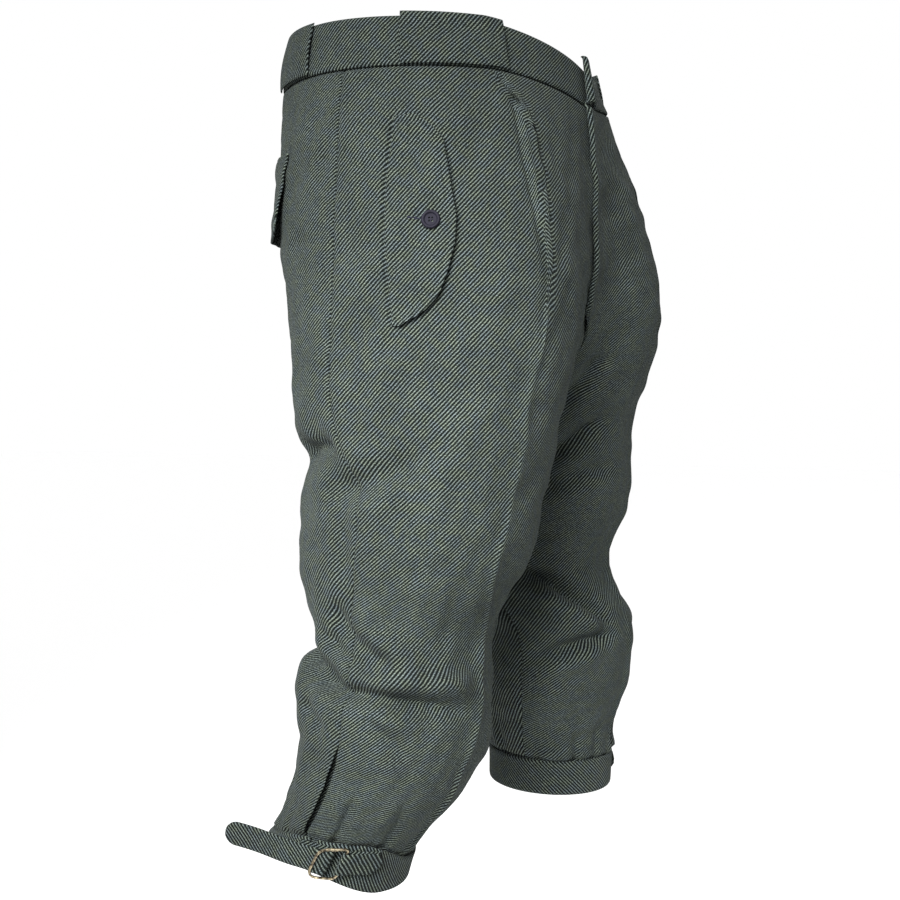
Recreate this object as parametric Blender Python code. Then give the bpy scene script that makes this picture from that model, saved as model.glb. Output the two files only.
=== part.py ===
"""Knickerbockers in heavy wool twill, filled out as if worn, open at the waist and the two cuffs.

Metres, +Z up. The front faces -Y and the wearer's right is at -X. The origin is the centre of the
waist opening. Every cloth panel is a thin wall lofted through level sections of the cut.
"""
import bmesh
import bpy
import math
import mathutils
import numpy as np

# Driving sizes
WALL = 0.0020             # one layer of heavy wool twill
BAND_WALL = 0.0032        # waistband and cuffs, folded double
SEAM = 0.0003             # gap left at every seam
BAND_TOP = 0.006          # drops are counted from a level just above the waist opening
BAND_FOOT = 0.048         # waistband seam
WAIST_RISE = 0.010        # that level above the origin
DIP_EASE = 1.2            # how the waist dips from the front crease to the centre front
FORK_DROP = 0.360         # waist to fork
FLY_DROP = 0.248          # waist to the foot of the fly
FLY_LAP = 0.012           # the left front passes the centre by this much
VENT_LENGTH = 0.078       # open slit above each cuff
VENT_LIFT = 0.0040        # the back edge stands out over the vent
VENT_SHIFT = 0.0060       # and reaches forward over it
VENT_PUSH = 0.0020        # the front edge sinks under it
VENT_EASE = 0.012
BLOUSE = 0.018            # how far the right leg hangs over its cuff
LAP_SCALE = 0.52          # metres per unit across near the centre front
BAND_PROUD = 0.0006       # the waistband stands out from the panels
BAND_LAP = 0.014
BAND_TIP = 0.007
LOOP_WALL = 0.0018
LOOP_BULGE = 0.0022
# Belt loops of each half: where each starts across the half, its width and how far it stands
# above the waistband.
LOOPS = (("side", 0.218, 0.181, 0.003), ("back", 0.580, 0.158, 0.001))
FLAP_WALL = 0.0022
FLAP_TOP = 0.091
FLAP_FOOT = 0.257
FLAP_HINGE = 0.424        # position of the hinge across the half
FLAP_BOW = 0.012          # the hinge bows back in its middle
FLAP_SCALE = 0.74         # metres per unit across at the hip
FLAP_STAND = 0.0010
FLAP_WIDTHS = ((0.0, 0.019), (0.05, 0.033), (0.12, 0.046), (0.28, 0.053), (0.49, 0.059), (0.61, 0.057),
               (0.75, 0.049), (0.86, 0.040), (0.94, 0.026), (1.0, 0.006))
BUTTON_ACROSS = 0.384
BUTTON_DROP = 0.175
BUTTON_RADIUS = 0.0075
BUTTON_THICK = 0.0030
BUTTON_STAND = 0.0011     # its back above the flat of the flap, which bows out under it
HOLE_OFFSET = 0.0017
HOLE_RADIUS = 0.0008
HIP_START = 0.635
HIP_END = 0.880
HIP_TOP = 0.109
HIP_DEPTH = 0.069
HIP_ROUND = 0.25
HIP_STAND = 0.006
STRAP_WIDTH = 0.0195
STRAP_WALL = 0.0020
STRAP_TAIL = 0.079        # free end behind the buckle
TAIL_STEP = 0.004         # the free end's directions are taken over this length
TAIL_RISE = 0.19          # slope of the free end
CUFF_TAPER = 0.010        # the right cuff is this much narrower at its vent
STRAP_MIDDLE = {-1: 0.6670, 1: 0.6685}
BUCKLE_ACROSS = 0.451
BUCKLE_LENGTH = 0.020
BUCKLE_CENTRE = 0.0025    # ahead of the place that the strap and tab are measured from
BUCKLE_HEIGHT = 0.0238
BUCKLE_CORNER = 0.0058    # round the strap's bar
BAR_POINTS = 5
TAB_CORNER = 0.0030       # round the tab's bar
BUCKLE_OUT = 0.0043       # the tab's bar above the cuff
BUCKLE_RISE = 0.0062      # the strap's bar lies over both layers of the strap
WIRE_RADIUS = 0.0011
TAB_WALL = 0.0015
TAB_HALF = 0.0085

RIGHT = -1
LEFT = 1
SIDE_NAME = {RIGHT: "right", LEFT: "left"}

# Positions across a half are counted 0 at the centre front or inseam, CREASE at the front crease,
# SIDE_SEAM at the side seam and 1 at the centre back or inseam.
CREASE = 0.25
SIDE_SEAM = 0.5
ARC_STEPS = 24

# Level sections of each half, from the waist seam down to the cuff seam.
# drop: below the waist. slope: rise of the level towards the back. fork_x, fork_front, fork_back:
# the inner edges. turn: 0 where they run across the body, 1 where they close round the leg.
# front, side, back: the outermost points. crease: its share of the way from front to side.
COLUMNS = ("drop", "slope", "dip", "fork_x", "fork_front", "fork_back", "turn",
           "front_x", "front_y", "side_x", "side_y", "back_x", "back_y", "crease")
WAIST_SECTIONS = (
    (0.006, 0.032, 0.021, 0.000, -0.134, 0.114, 0.0, 0.006, -0.134, 0.158, 0.008, 0.050, 0.113, 0.50),
    (0.048, 0.000, 0.016, 0.000, -0.139, 0.121, 0.0, 0.010, -0.139, 0.165, 0.008, 0.050, 0.120, 0.47),
)
RIGHT_SECTIONS = WAIST_SECTIONS + (
    (0.090, 0.000, 0.012, 0.000, -0.142, 0.120, 0.0, 0.045, -0.143, 0.174, 0.006, 0.050, 0.119, 0.30),
    (0.135, 0.000, 0.008, 0.000, -0.144, 0.118, 0.0, 0.060, -0.150, 0.180, 0.005, 0.055, 0.116, 0.25),
    (0.184, 0.000, 0.004, 0.000, -0.145, 0.111, 0.0, 0.070, -0.155, 0.185, 0.004, 0.060, 0.110, 0.22),
    (0.235, 0.000, 0.000, 0.000, -0.138, 0.097, 0.1, 0.080, -0.156, 0.190, 0.002, 0.070, 0.095, 0.20),
    (0.290, 0.000, 0.000, 0.000, -0.116, 0.076, 0.3, 0.092, -0.153, 0.197, 0.000, 0.085, 0.081, 0.21),
    (0.325, 0.000, 0.000, 0.000, -0.080, 0.050, 0.5, 0.100, -0.149, 0.202, -0.006, 0.095, 0.074, 0.22),
    (0.347, 0.000, 0.000, 0.000, -0.038, 0.022, 0.8, 0.104, -0.145, 0.205, -0.014, 0.100, 0.069, 0.20),
    (0.360, 0.000, 0.000, 0.000, -0.010, -0.010, 1.0, 0.107, -0.142, 0.206, -0.020, 0.104, 0.062, 0.20),
    (0.396, 0.000, 0.000, 0.016, -0.030, -0.030, 1.0, 0.112, -0.137, 0.207, -0.032, 0.112, 0.063, 0.22),
    (0.445, 0.000, 0.000, 0.030, -0.031, -0.031, 1.0, 0.118, -0.125, 0.206, -0.027, 0.118, 0.063, 0.22),
    (0.495, 0.000, 0.000, 0.044, -0.024, -0.024, 1.0, 0.124, -0.098, 0.204, -0.022, 0.124, 0.049, 0.02),
    (0.544, 0.020, 0.000, 0.049, -0.019, -0.019, 1.0, 0.129, -0.101, 0.209, -0.019, 0.129, 0.062, 0.05),
    (0.594, 0.050, 0.000, 0.056, -0.018, -0.018, 1.0, 0.133, -0.096, 0.209, -0.018, 0.133, 0.055, 0.14),
    (0.628, 0.080, 0.000, 0.066, -0.006, -0.006, 1.0, 0.137, -0.072, 0.206, -0.006, 0.137, 0.063, 0.10),
    (0.655, 0.110, 0.000, 0.078, 0.012, 0.012, 1.0, 0.139, -0.048, 0.200, 0.012, 0.139, 0.073, 0.05),
    (0.677, 0.160, 0.000, 0.079, 0.024, 0.024, 1.0, 0.139, -0.035, 0.200, 0.024, 0.139, 0.084, 0.05),
    (0.690, 0.230, 0.000, 0.079, 0.032, 0.032, 1.0, 0.140, -0.030, 0.201, 0.032, 0.140, 0.094, 0.05),
)
LEFT_SECTIONS = WAIST_SECTIONS + (
    (0.090, 0.000, 0.012, 0.000, -0.142, 0.120, 0.0, 0.030, -0.144, 0.174, 0.006, 0.050, 0.119, 0.30),
    (0.135, 0.000, 0.008, 0.000, -0.144, 0.118, 0.0, 0.055, -0.154, 0.182, 0.003, 0.055, 0.116, 0.25),
    (0.184, 0.000, 0.004, 0.000, -0.145, 0.111, 0.0, 0.075, -0.162, 0.187, 0.000, 0.060, 0.110, 0.22),
    (0.235, 0.000, 0.000, 0.000, -0.138, 0.097, 0.1, 0.085, -0.166, 0.192, -0.008, 0.070, 0.096, 0.20),
    (0.290, 0.000, 0.000, 0.000, -0.116, 0.076, 0.3, 0.095, -0.151, 0.197, -0.012, 0.085, 0.083, 0.21),
    (0.325, 0.000, 0.000, 0.000, -0.080, 0.050, 0.5, 0.100, -0.135, 0.200, -0.018, 0.095, 0.075, 0.22),
    (0.347, 0.000, 0.000, 0.000, -0.038, 0.022, 0.8, 0.104, -0.129, 0.203, -0.022, 0.100, 0.069, 0.20),
    (0.360, 0.000, 0.000, 0.000, -0.010, -0.010, 1.0, 0.106, -0.128, 0.204, -0.024, 0.104, 0.062, 0.20),
    (0.396, 0.000, 0.000, 0.016, -0.026, -0.026, 1.0, 0.112, -0.127, 0.207, -0.031, 0.112, 0.062, 0.18),
    (0.470, 0.000, 0.000, 0.032, -0.021, -0.021, 1.0, 0.118, -0.103, 0.205, -0.021, 0.118, 0.061, 0.10),
    (0.530, 0.000, 0.000, 0.044, -0.050, -0.050, 1.0, 0.124, -0.125, 0.204, -0.050, 0.124, 0.030, 0.05),
    (0.589, 0.020, 0.000, 0.051, -0.050, -0.050, 1.0, 0.129, -0.117, 0.207, -0.050, 0.129, 0.022, 0.05),
    (0.625, 0.040, 0.000, 0.066, -0.044, -0.044, 1.0, 0.134, -0.103, 0.204, -0.044, 0.134, 0.021, 0.05),
    (0.652, 0.040, 0.000, 0.075, -0.042, -0.042, 1.0, 0.137, -0.102, 0.198, -0.042, 0.137, 0.019, 0.05),
    (0.685, 0.040, 0.000, 0.080, -0.039, -0.039, 1.0, 0.140, -0.099, 0.200, -0.039, 0.140, 0.020, 0.05),
)
SECTIONS = {RIGHT: np.array(RIGHT_SECTIONS), LEFT: np.array(LEFT_SECTIONS)}
CUFF_TOP = {RIGHT: 0.655, LEFT: 0.652}
CUFF_FOOT = {RIGHT: 0.690, LEFT: 0.685}

# Main folds: across and drop of one end, across and drop of the other, bow sideways, half width,
# height (+ is a ridge).
RIGHT_FOLDS = (
    (0.550, 0.382, 0.400, 0.355, 0.004, 0.013, -0.0050),   # under the seat, round to the side
    (0.500, 0.346, 0.660, 0.362, 0.008, 0.012, -0.0090),   # notch below the seat
    (0.640, 0.366, 0.860, 0.352, -0.01, 0.014, -0.0070),
    (0.570, 0.470, 0.405, 0.528, 0.005, 0.013, -0.0060),   # S folds above the knee
    (0.660, 0.512, 0.500, 0.532, 0.003, 0.010, -0.0060),
    (0.620, 0.492, 0.450, 0.508, 0.000, 0.012, 0.0040),
    (0.490, 0.534, 0.280, 0.556, 0.004, 0.008, -0.0080),   # knee crease
    (0.480, 0.521, 0.300, 0.536, 0.004, 0.012, 0.0050),
    (0.490, 0.546, 0.400, 0.574, 0.000, 0.007, -0.0040),
    (0.920, 0.500, 0.720, 0.540, 0.004, 0.013, -0.0060),   # back of the knee
    (0.590, 0.506, 0.760, 0.508, 0.000, 0.012, -0.0060),
    (0.880, 0.440, 0.700, 0.462, 0.006, 0.015, -0.0050),
    (0.050, 0.548, 0.210, 0.560, 0.003, 0.011, -0.0050),   # inner knee
)
LEFT_FOLDS = (
    (0.050, 0.466, 0.190, 0.516, 0.003, 0.011, -0.0080),   # front of the knee
    (0.040, 0.490, 0.170, 0.532, 0.000, 0.013, 0.0050),
    (0.010, 0.548, 0.260, 0.534, 0.003, 0.008, -0.0070),
    (0.110, 0.372, 0.125, 0.288, 0.000, 0.013, -0.0050),   # drags from the fork
    (0.035, 0.325, 0.075, 0.268, 0.000, 0.012, -0.0050),
    (0.500, 0.348, 0.660, 0.362, 0.008, 0.012, -0.0080),   # notch below the seat
    (0.640, 0.366, 0.860, 0.352, -0.01, 0.014, -0.0070),
    (0.560, 0.440, 0.410, 0.482, 0.005, 0.013, -0.0050),   # side and back of the knee
    (0.680, 0.500, 0.500, 0.530, 0.003, 0.011, -0.0060),
    (0.470, 0.520, 0.300, 0.548, 0.004, 0.010, -0.0050),
    (0.900, 0.470, 0.700, 0.505, 0.004, 0.013, -0.0060),
    (0.880, 0.540, 0.720, 0.556, 0.003, 0.011, -0.0050),
)
# Gathers above each cuff: across at the cuff, lean at the top, length, half width, height.
GATHERS = {
    RIGHT: (
        (0.452, 0.010, 0.045, 0.0055, -0.0035),
        (0.415, 0.020, 0.030, 0.0060, 0.0020),
        (0.335, 0.015, 0.038, 0.0060, -0.0030),
        (0.240, 0.000, 0.030, 0.0060, -0.0025),
        (0.120, -0.01, 0.040, 0.0060, -0.0030),
        (0.020, 0.010, 0.030, 0.0060, -0.0025),
        (0.900, 0.000, 0.042, 0.0060, -0.0030),
        (0.790, -0.01, 0.034, 0.0060, -0.0030),
        (0.680, -0.02, 0.046, 0.0065, -0.0035),
        (0.590, -0.01, 0.030, 0.0060, -0.0025),
    ),
    LEFT: (
        (0.125, 0.000, 0.030, 0.0055, -0.0035),
        (0.180, 0.010, 0.042, 0.0060, -0.0030),
        (0.270, 0.015, 0.036, 0.0060, -0.0035),
        (0.350, 0.010, 0.030, 0.0060, -0.0025),
        (0.430, 0.010, 0.044, 0.0060, -0.0035),
        (0.030, 0.000, 0.028, 0.0060, -0.0020),
        (0.930, 0.000, 0.036, 0.0060, -0.0030),
        (0.830, -0.01, 0.044, 0.0060, -0.0030),
        (0.720, -0.02, 0.032, 0.0060, -0.0035),
        (0.610, -0.01, 0.040, 0.0060, -0.0030),
    ),
}
FOLDS = {RIGHT: RIGHT_FOLDS, LEFT: LEFT_FOLDS}
CLOTH_GIRTH = 0.50        # turns positions across a half into metres for the folds
PLEAT_FOOT = 0.290        # the front pleat opens out by this drop
PLEAT_FADE = 0.090
PLEAT_EDGE = 0.0025
PLEAT_RISE = 0.0040
PLEAT_SINK = 0.0025
PLEAT_SPREAD = 0.030
PLEAT_SHADE = 0.010
CREASE_RISE = 0.0025
CREASE_WIDTH = 0.006


def rows_at(side, drop):
    """Section values at each drop, on a smooth curve through the table's rows."""
    table = SECTIONS[side]
    knots = table[:, 0]
    rise = np.gradient(table, knots, axis=0)
    drop = np.clip(drop, knots[0], knots[-1])
    low = np.clip(np.searchsorted(knots, drop, side="right") - 1, 0, len(knots) - 2)
    span = knots[low + 1] - knots[low]
    t = ((drop - knots[low]) / span)[:, None]
    span = span[:, None]
    values = ((2 * t ** 3 - 3 * t ** 2 + 1) * table[low] + (t ** 3 - 2 * t ** 2 + t) * span * rise[low]
              + (3 * t ** 2 - 2 * t ** 3) * table[low + 1] + (t ** 3 - t ** 2) * span * rise[low + 1])
    row = {name: values[:, column:column + 1] for column, name in enumerate(COLUMNS)}
    closed = (drop >= FORK_DROP)[:, None]
    inseam = (row["fork_front"] + row["fork_back"]) / 2
    row["fork_front"] = np.where(closed, inseam, row["fork_front"])
    row["fork_back"] = np.where(closed, inseam, row["fork_back"])
    row["fork_x"] = np.maximum(row["fork_x"], 0.0)
    return row


def section_curve(row):
    """Each row's level section as four arcs: centre front, side, back, centre back."""
    angle = np.linspace(0.0, math.pi / 2, ARC_STEPS + 1)
    along_x = (1 - row["turn"]) * angle / (math.pi / 2) + row["turn"] * (1 - np.cos(angle))
    along_y = (1 - row["turn"]) * (1 - np.cos(2 * angle)) / 2 + row["turn"] * np.sin(angle)
    inner_x = row["fork_x"] + (row["front_x"] - row["fork_x"]) * along_x
    inner_y = row["fork_front"] + (row["front_y"] - row["fork_front"]) * along_y
    front_x = row["front_x"] + (row["side_x"] - row["front_x"]) * np.sin(angle)
    front_y = row["front_y"] + (row["side_y"] - row["front_y"]) * (1 - np.cos(angle))
    back_x = row["side_x"] + (row["back_x"] - row["side_x"]) * (1 - np.cos(angle))
    back_y = row["side_y"] + (row["back_y"] - row["side_y"]) * np.sin(angle)
    seat_x = (row["fork_x"] + (row["back_x"] - row["fork_x"]) * along_x)[:, ::-1]
    seat_y = (row["fork_back"] + (row["back_y"] - row["fork_back"]) * along_y)[:, ::-1]
    x = np.concatenate((inner_x, front_x[:, 1:], back_x[:, 1:], seat_x[:, 1:]), axis=1)
    y = np.concatenate((inner_y, front_y[:, 1:], back_y[:, 1:], seat_y[:, 1:]), axis=1)
    return x, y


def ramp(value, start, end):
    """0 before start, 1 after end, smooth between."""
    t = np.clip((value - start) / (end - start), 0.0, 1.0)
    return t * t * (3 - 2 * t)


def fold_rows(side):
    """Folds and gathers of one half in the columns of the fold table."""
    rows = list(FOLDS[side])
    foot = CUFF_TOP[side] + 0.020
    for across, lean, length, width, height in GATHERS[side]:
        rows.append((across + lean, foot - 0.020 - length, across, foot, 0.0, width, height))
    return rows


def fold_height(side, across, drop):
    """Sum of the soft ridges and troughs, the front pleat and the pressed crease."""
    height = np.zeros_like(across)
    for across_0, drop_0, across_1, drop_1, bow, width, rise in fold_rows(side):
        start = np.array((across_0 * CLOTH_GIRTH, drop_0))
        run = np.array((across_1 * CLOTH_GIRTH, drop_1)) - start
        length = math.hypot(*run)
        ahead, aside = run / length, np.array((-run[1], run[0])) / length
        offset = np.stack((across * CLOTH_GIRTH, drop), axis=-1) - start
        share = offset @ ahead / length
        distance = offset @ aside - bow * np.sin(math.pi * np.clip(share, 0, 1))
        taper = np.clip(np.minimum(share, 1 - share) * 4 + 0.5, 0, 1)
        height += rise * np.exp(-(distance / width) ** 2) * taper * taper * (3 - 2 * taper)
    beside = (across - CREASE) * CLOTH_GIRTH
    pleat = np.clip((PLEAT_FOOT - drop) / PLEAT_FADE, 0, 1) * ramp(drop, BAND_FOOT - 0.006, BAND_FOOT + 0.030)
    lap = 0.5 - 0.5 * np.tanh(beside / PLEAT_EDGE)
    height += pleat * (lap * PLEAT_RISE * np.exp(-(beside / PLEAT_SPREAD) ** 2)
                       - (1 - lap) * PLEAT_SINK * np.exp(-(beside / PLEAT_SHADE) ** 2))
    crease = ramp(drop, PLEAT_FOOT - PLEAT_FADE, PLEAT_FOOT)
    height += crease * CREASE_RISE * np.exp(-(beside / CREASE_WIDTH) ** 2)
    return height


def level_point(side, across, drop, out, folded):
    """Point of the cloth at a position across a half, at a drop, moved out along its level."""
    row = rows_at(side, drop)
    x, y = section_curve(row)
    steps = np.hypot(np.diff(x, axis=1), np.diff(y, axis=1))
    length = np.concatenate((np.zeros((len(x), 1)), np.cumsum(steps, axis=1)), axis=1)
    order = np.arange(len(x))
    crease_at = ARC_STEPS * (1 + row["crease"][:, 0])
    low = crease_at.astype(int)
    part = crease_at - low
    to_crease = length[order, low] * (1 - part) + length[order, low + 1] * part
    to_side, whole = length[:, 2 * ARC_STEPS], length[:, -1]
    wanted = np.where(across < CREASE, across / CREASE * to_crease,
                      np.where(across < SIDE_SEAM,
                               to_crease + (across - CREASE) / (SIDE_SEAM - CREASE) * (to_side - to_crease),
                               to_side + (across - SIDE_SEAM) / (1 - SIDE_SEAM) * (whole - to_side)))
    low = np.clip((length < wanted[:, None]).sum(axis=1) - 1, 0, x.shape[1] - 2)
    part = (wanted - length[order, low]) / (length[order, low + 1] - length[order, low])
    tangent_x = np.gradient(x, axis=1)
    tangent_y = np.gradient(y, axis=1)

    def between(values):
        return values[order, low] * (1 - part) + values[order, low + 1] * part

    px, py, tx, ty = between(x), between(y), between(tangent_x), between(tangent_y)
    size = np.hypot(tx, ty)
    if folded:
        out = out + fold_height(side, across, drop)
    px, py = px - ty / size * -out, py + tx / size * -out
    middle = (row["front_y"] + row["back_y"])[:, 0] / 2
    dip = row["dip"][:, 0] * np.clip(1 - across / CREASE, 0, 1) ** DIP_EASE
    pz = WAIST_RISE - drop - dip + row["slope"][:, 0] * (py - middle)
    return px, py, pz


def skin(side, across, drop, out=0.0, folded=True):
    """Cloth point; past the inner edges it goes on round the leg or onto the other half."""
    across, drop = np.broadcast_arrays(np.asarray(across, float), np.asarray(drop, float))
    shape = across.shape
    across, drop = across.ravel().copy(), drop.ravel()
    out = np.broadcast_to(np.asarray(out, float), shape).ravel()
    leg = drop >= FORK_DROP
    across = np.where(leg, np.mod(across, 1.0 + 1e-12), across)
    beyond = (across < 0) | (across > 1)
    across = np.where(across < 0, -across, np.where(across > 1, 2 - across, across))
    px, py, pz = level_point(side, across, drop, out, folded)
    px = np.where(beyond, -px, px)
    return np.stack((side * px, py, pz), axis=-1).reshape(shape + (3,))


def outward(side, across, drop, folded=True):
    """Unit direction out of the cloth."""
    step_across, step_drop = 0.004, 0.002
    around = (skin(side, across + step_across, drop, folded=folded)
              - skin(side, across - step_across, drop, folded=folded))
    down = skin(side, across, drop + step_drop, folded=folded) - skin(side, across, drop - step_drop, folded=folded)
    normal = np.cross(around, down) * -side
    return normal / np.linalg.norm(normal, axis=-1, keepdims=True)


def on_cloth(side, across, drop, out, folded=True):
    """Point moved out from the cloth along its own outward direction."""
    away = outward(side, across, drop, folded) * np.asarray(out)[..., None]
    return skin(side, across, drop, folded=folded) + away


def girth(side, drop):
    """Length of the half's section from the centre front or inseam round to the back."""
    x, y = section_curve(rows_at(side, np.array((drop,), float)))
    return float(np.hypot(np.diff(x), np.diff(y)).sum())


# Building closed pieces

def material(name, colour, roughness, metallic=0.0):
    shade = bpy.data.materials.new(name)
    shade.use_nodes = True
    surface = shade.node_tree.nodes["Principled BSDF"]
    surface.inputs["Base Color"].default_value = (*colour, 1.0)
    surface.inputs["Roughness"].default_value = roughness
    surface.inputs["Metallic"].default_value = metallic
    return shade


def add_piece(name, mesh, shade):
    piece = bpy.data.objects.new(name, mesh)
    PARTS.objects.link(piece)
    mesh.materials.clear()
    mesh.materials.append(shade)
    mesh.shade_smooth()
    mesh.set_sharp_from_angle(angle=math.radians(40))
    return piece


def wall(name, outer, inner, shade):
    """Closed wall between two grids of points, rows down and columns across."""
    rows, columns = outer.shape[:2]
    mesh = bpy.data.meshes.new(name)
    points = np.concatenate((outer.reshape(-1, 3), inner.reshape(-1, 3)))
    offset = rows * columns
    faces = []
    for row in range(rows - 1):
        for column in range(columns - 1):
            a = row * columns + column
            b, c, d = a + 1, a + columns + 1, a + columns
            faces.append((a, b, c, d))
            faces.append((offset + d, offset + c, offset + b, offset + a))
    sides = [(row * columns + end, (row + 1) * columns + end) for row in range(rows - 1) for end in (0, columns - 1)]
    sides += [(end + column, end + column + 1) for column in range(columns - 1) for end in (0, (rows - 1) * columns)]
    for here, after in sides:
        faces.append((here, after, offset + after))
        faces.append((here, offset + after, offset + here))
    mesh.from_pydata(points.tolist(), [], faces)
    shape = bmesh.new()
    shape.from_mesh(mesh)
    bmesh.ops.recalc_face_normals(shape, faces=shape.faces)
    shape.to_mesh(mesh)
    shape.free()
    return add_piece(name, mesh, shade)


def cloth_wall(name, side, across, drop, shade, out=0.0, thickness=WALL, folded=True):
    """Wall on the cloth's own points; `out` is where its outer face lies."""
    out = np.broadcast_to(np.asarray(out, float), across.shape)
    outer = on_cloth(side, across, drop, out, folded)
    inner = on_cloth(side, across, drop, out - thickness, folded)
    own_side = across > 0
    for face in (outer, inner):
        clear = np.maximum(face[..., 0] * side, SEAM / 2) * side
        face[..., 0] = np.where(own_side, clear, face[..., 0])
    return wall(name, outer, inner, shade)


def panel_levels(side):
    """Drops of a panel's rows, closest together round the knee and the cuff."""
    return np.concatenate((np.linspace(BAND_FOOT + SEAM, 0.335, 12),
                           (0.350,),
                           np.linspace(FORK_DROP, 0.495, 7),
                           np.linspace(0.508, CUFF_TOP[side] - SEAM, 12)))


def beside_vent(across):
    """1 next to the vent, 0 away from it."""
    return ramp(across, 0.20, 0.40) * (1 - ramp(across, 0.50, 0.72))


def hem(side, across, drop):
    """The right leg blouses over its cuff except beside the vent, so its last rows hang lower."""
    if side == LEFT:
        return drop
    return drop + BLOUSE * ramp(drop, 0.590, CUFF_TOP[RIGHT]) * (1 - beside_vent(across))


def vent_opening(side, drop):
    """0 above and below the slit, 1 at its widest."""
    share = np.clip((drop - CUFF_TOP[side] + VENT_LENGTH) / VENT_LENGTH, 0, 1)
    return np.sin(math.pi * share ** 1.3) ** 0.8


def front_panel(side, shade):
    """Front from the centre to the side seam. The left one laps over the right along the fly."""
    columns = np.concatenate((np.linspace(0.012, 0.236, 8), (0.2455, 0.2545), np.linspace(0.268, 0.488, 7)))
    seam_share = SEAM * 0.7 / girth(side, 0.2)
    across, drop = np.meshgrid(np.concatenate(((seam_share,), columns, (SIDE_SEAM - seam_share,))),
                               panel_levels(side))
    near_slit = np.exp(-(SIDE_SEAM - across) * CLOTH_GIRTH / VENT_EASE)
    out = -VENT_PUSH * vent_opening(side, drop) * near_slit
    if side == LEFT:
        lapped = 1 - ramp(drop, FLY_DROP - 0.012, FLY_DROP)
        edge = across[:, 0] * (1 - lapped[:, 0]) - FLY_LAP / LAP_SCALE * lapped[:, 0]
        across[:, 0] = edge
        across[:, 1] = across[:, 1] * (1 - lapped[:, 1]) - 0.001 * lapped[:, 1]
        raised = 1 - ramp(drop, FLY_DROP + 0.004, FLY_DROP + 0.040)
        out = out + raised * (WALL + 3 * SEAM) * (1 - ramp(across, 0.010, 0.070))
    cloth_wall(f"front_{SIDE_NAME[side]}", side, across, hem(side, across, drop), shade, out)


def back_panel(side, shade):
    """Back from the side seam to the centre seam. Its edge stands over the vent."""
    seam_share = SEAM * 0.7 / girth(side, 0.2)
    columns = np.concatenate((np.linspace(0.512, 0.560, 3), np.linspace(0.595, 0.985, 12)))
    across, drop = np.meshgrid(np.concatenate(((SIDE_SEAM + seam_share,), columns, (1 - seam_share,))),
                               panel_levels(side))
    near_slit = np.exp(-(across - SIDE_SEAM) * CLOTH_GIRTH / VENT_EASE)
    opening = vent_opening(side, drop)
    across = across - VENT_SHIFT / CLOTH_GIRTH * ramp(opening, 0.65, 0.92) * near_slit
    out = VENT_LIFT * opening ** 0.4 * near_slit
    cloth_wall(f"back_{SIDE_NAME[side]}", side, across, hem(side, across, drop), shade, out)


def vent_underlap(side, shade):
    """Strip that carries the front on behind the open vent."""
    top = CUFF_TOP[side] - VENT_LENGTH + 0.004
    across, drop = np.meshgrid(np.linspace(0.470, 0.545, 6), np.linspace(top, CUFF_TOP[side] - 2 * SEAM, 8))
    out = -(WALL + 4 * SEAM) - (VENT_PUSH + 2 * SEAM) * vent_opening(side, drop)
    cloth_wall(f"vent_{SIDE_NAME[side]}", side, across, drop, shade, out, 0.0015)


def waistband(side, shade):
    """Half of the waistband. The left end laps over the right and stands up a little."""
    seam_share = SEAM / 2 / girth(side, 0.03)
    columns = np.concatenate(((seam_share,), np.linspace(0.02, 0.98, 31), (1 - seam_share,)))
    out = np.zeros(len(columns)) + BAND_PROUD
    if side == LEFT:
        columns[0] = -BAND_LAP / LAP_SCALE
        columns = np.insert(columns, 1, 0.002)
        out = BAND_PROUD + (BAND_WALL + 2 * SEAM) * (1 - ramp(columns, 0.008, 0.070))
        out[0] += 0.003
    across, drop = np.meshgrid(columns, np.linspace(BAND_TOP, BAND_FOOT - SEAM, 4))
    out = np.broadcast_to(out, across.shape)
    outer = on_cloth(side, across, drop, out, folded=False)
    inner = on_cloth(side, across, drop, out - BAND_WALL, folded=False)
    if side == LEFT:
        rise = BAND_TIP * np.linspace(1.0, 0.0, len(across))
        outer[:, 0, 2] += rise
        inner[:, 0, 2] += rise
    wall(f"waistband_{SIDE_NAME[side]}", outer, inner, shade)


def belt_loop(label, side, start, span, above, shade):
    """Wide tunnel loop on the waistband, bulging a little and standing above its top edge."""
    across, drop = np.meshgrid(np.linspace(start, start + span, 8),
                               np.linspace(BAND_TOP, BAND_FOOT - 2 * SEAM, 6))
    share = (drop - BAND_TOP) / (BAND_FOOT - BAND_TOP)
    bulge = LOOP_BULGE * np.sin(math.pi * share)
    out = BAND_PROUD + SEAM + LOOP_WALL + bulge
    outer = on_cloth(side, across, drop, out, folded=False)
    inner = on_cloth(side, across, drop, out - LOOP_WALL, folded=False)
    lift = above * (1 - ramp(share, 0.0, 0.3))
    outer[..., 2] += lift
    inner[..., 2] += lift
    wall(f"belt_loop_{label}_{SIDE_NAME[side]}", outer, inner, shade)


def side_flap(side, shade):
    """Long pocket flap hinged along its straight rear edge, curved along its free front edge."""
    share, width = np.array(FLAP_WIDTHS).T
    down = np.linspace(0, 1, 15)
    reach = np.interp(down, share, width)
    drop = FLAP_TOP + (FLAP_FOOT - FLAP_TOP) * down
    inward = np.linspace(0, 1, 6)
    hinge = FLAP_HINGE + FLAP_BOW * np.sin(math.pi * down)
    across = hinge[:, None] - reach[:, None] * inward / FLAP_SCALE
    drop = np.broadcast_to(drop[:, None], across.shape)
    out = SEAM + FLAP_WALL + FLAP_STAND * np.broadcast_to(inward ** 2, across.shape)
    cloth_wall(f"side_flap_{SIDE_NAME[side]}", side, across, drop, shade, out, FLAP_WALL)


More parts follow.
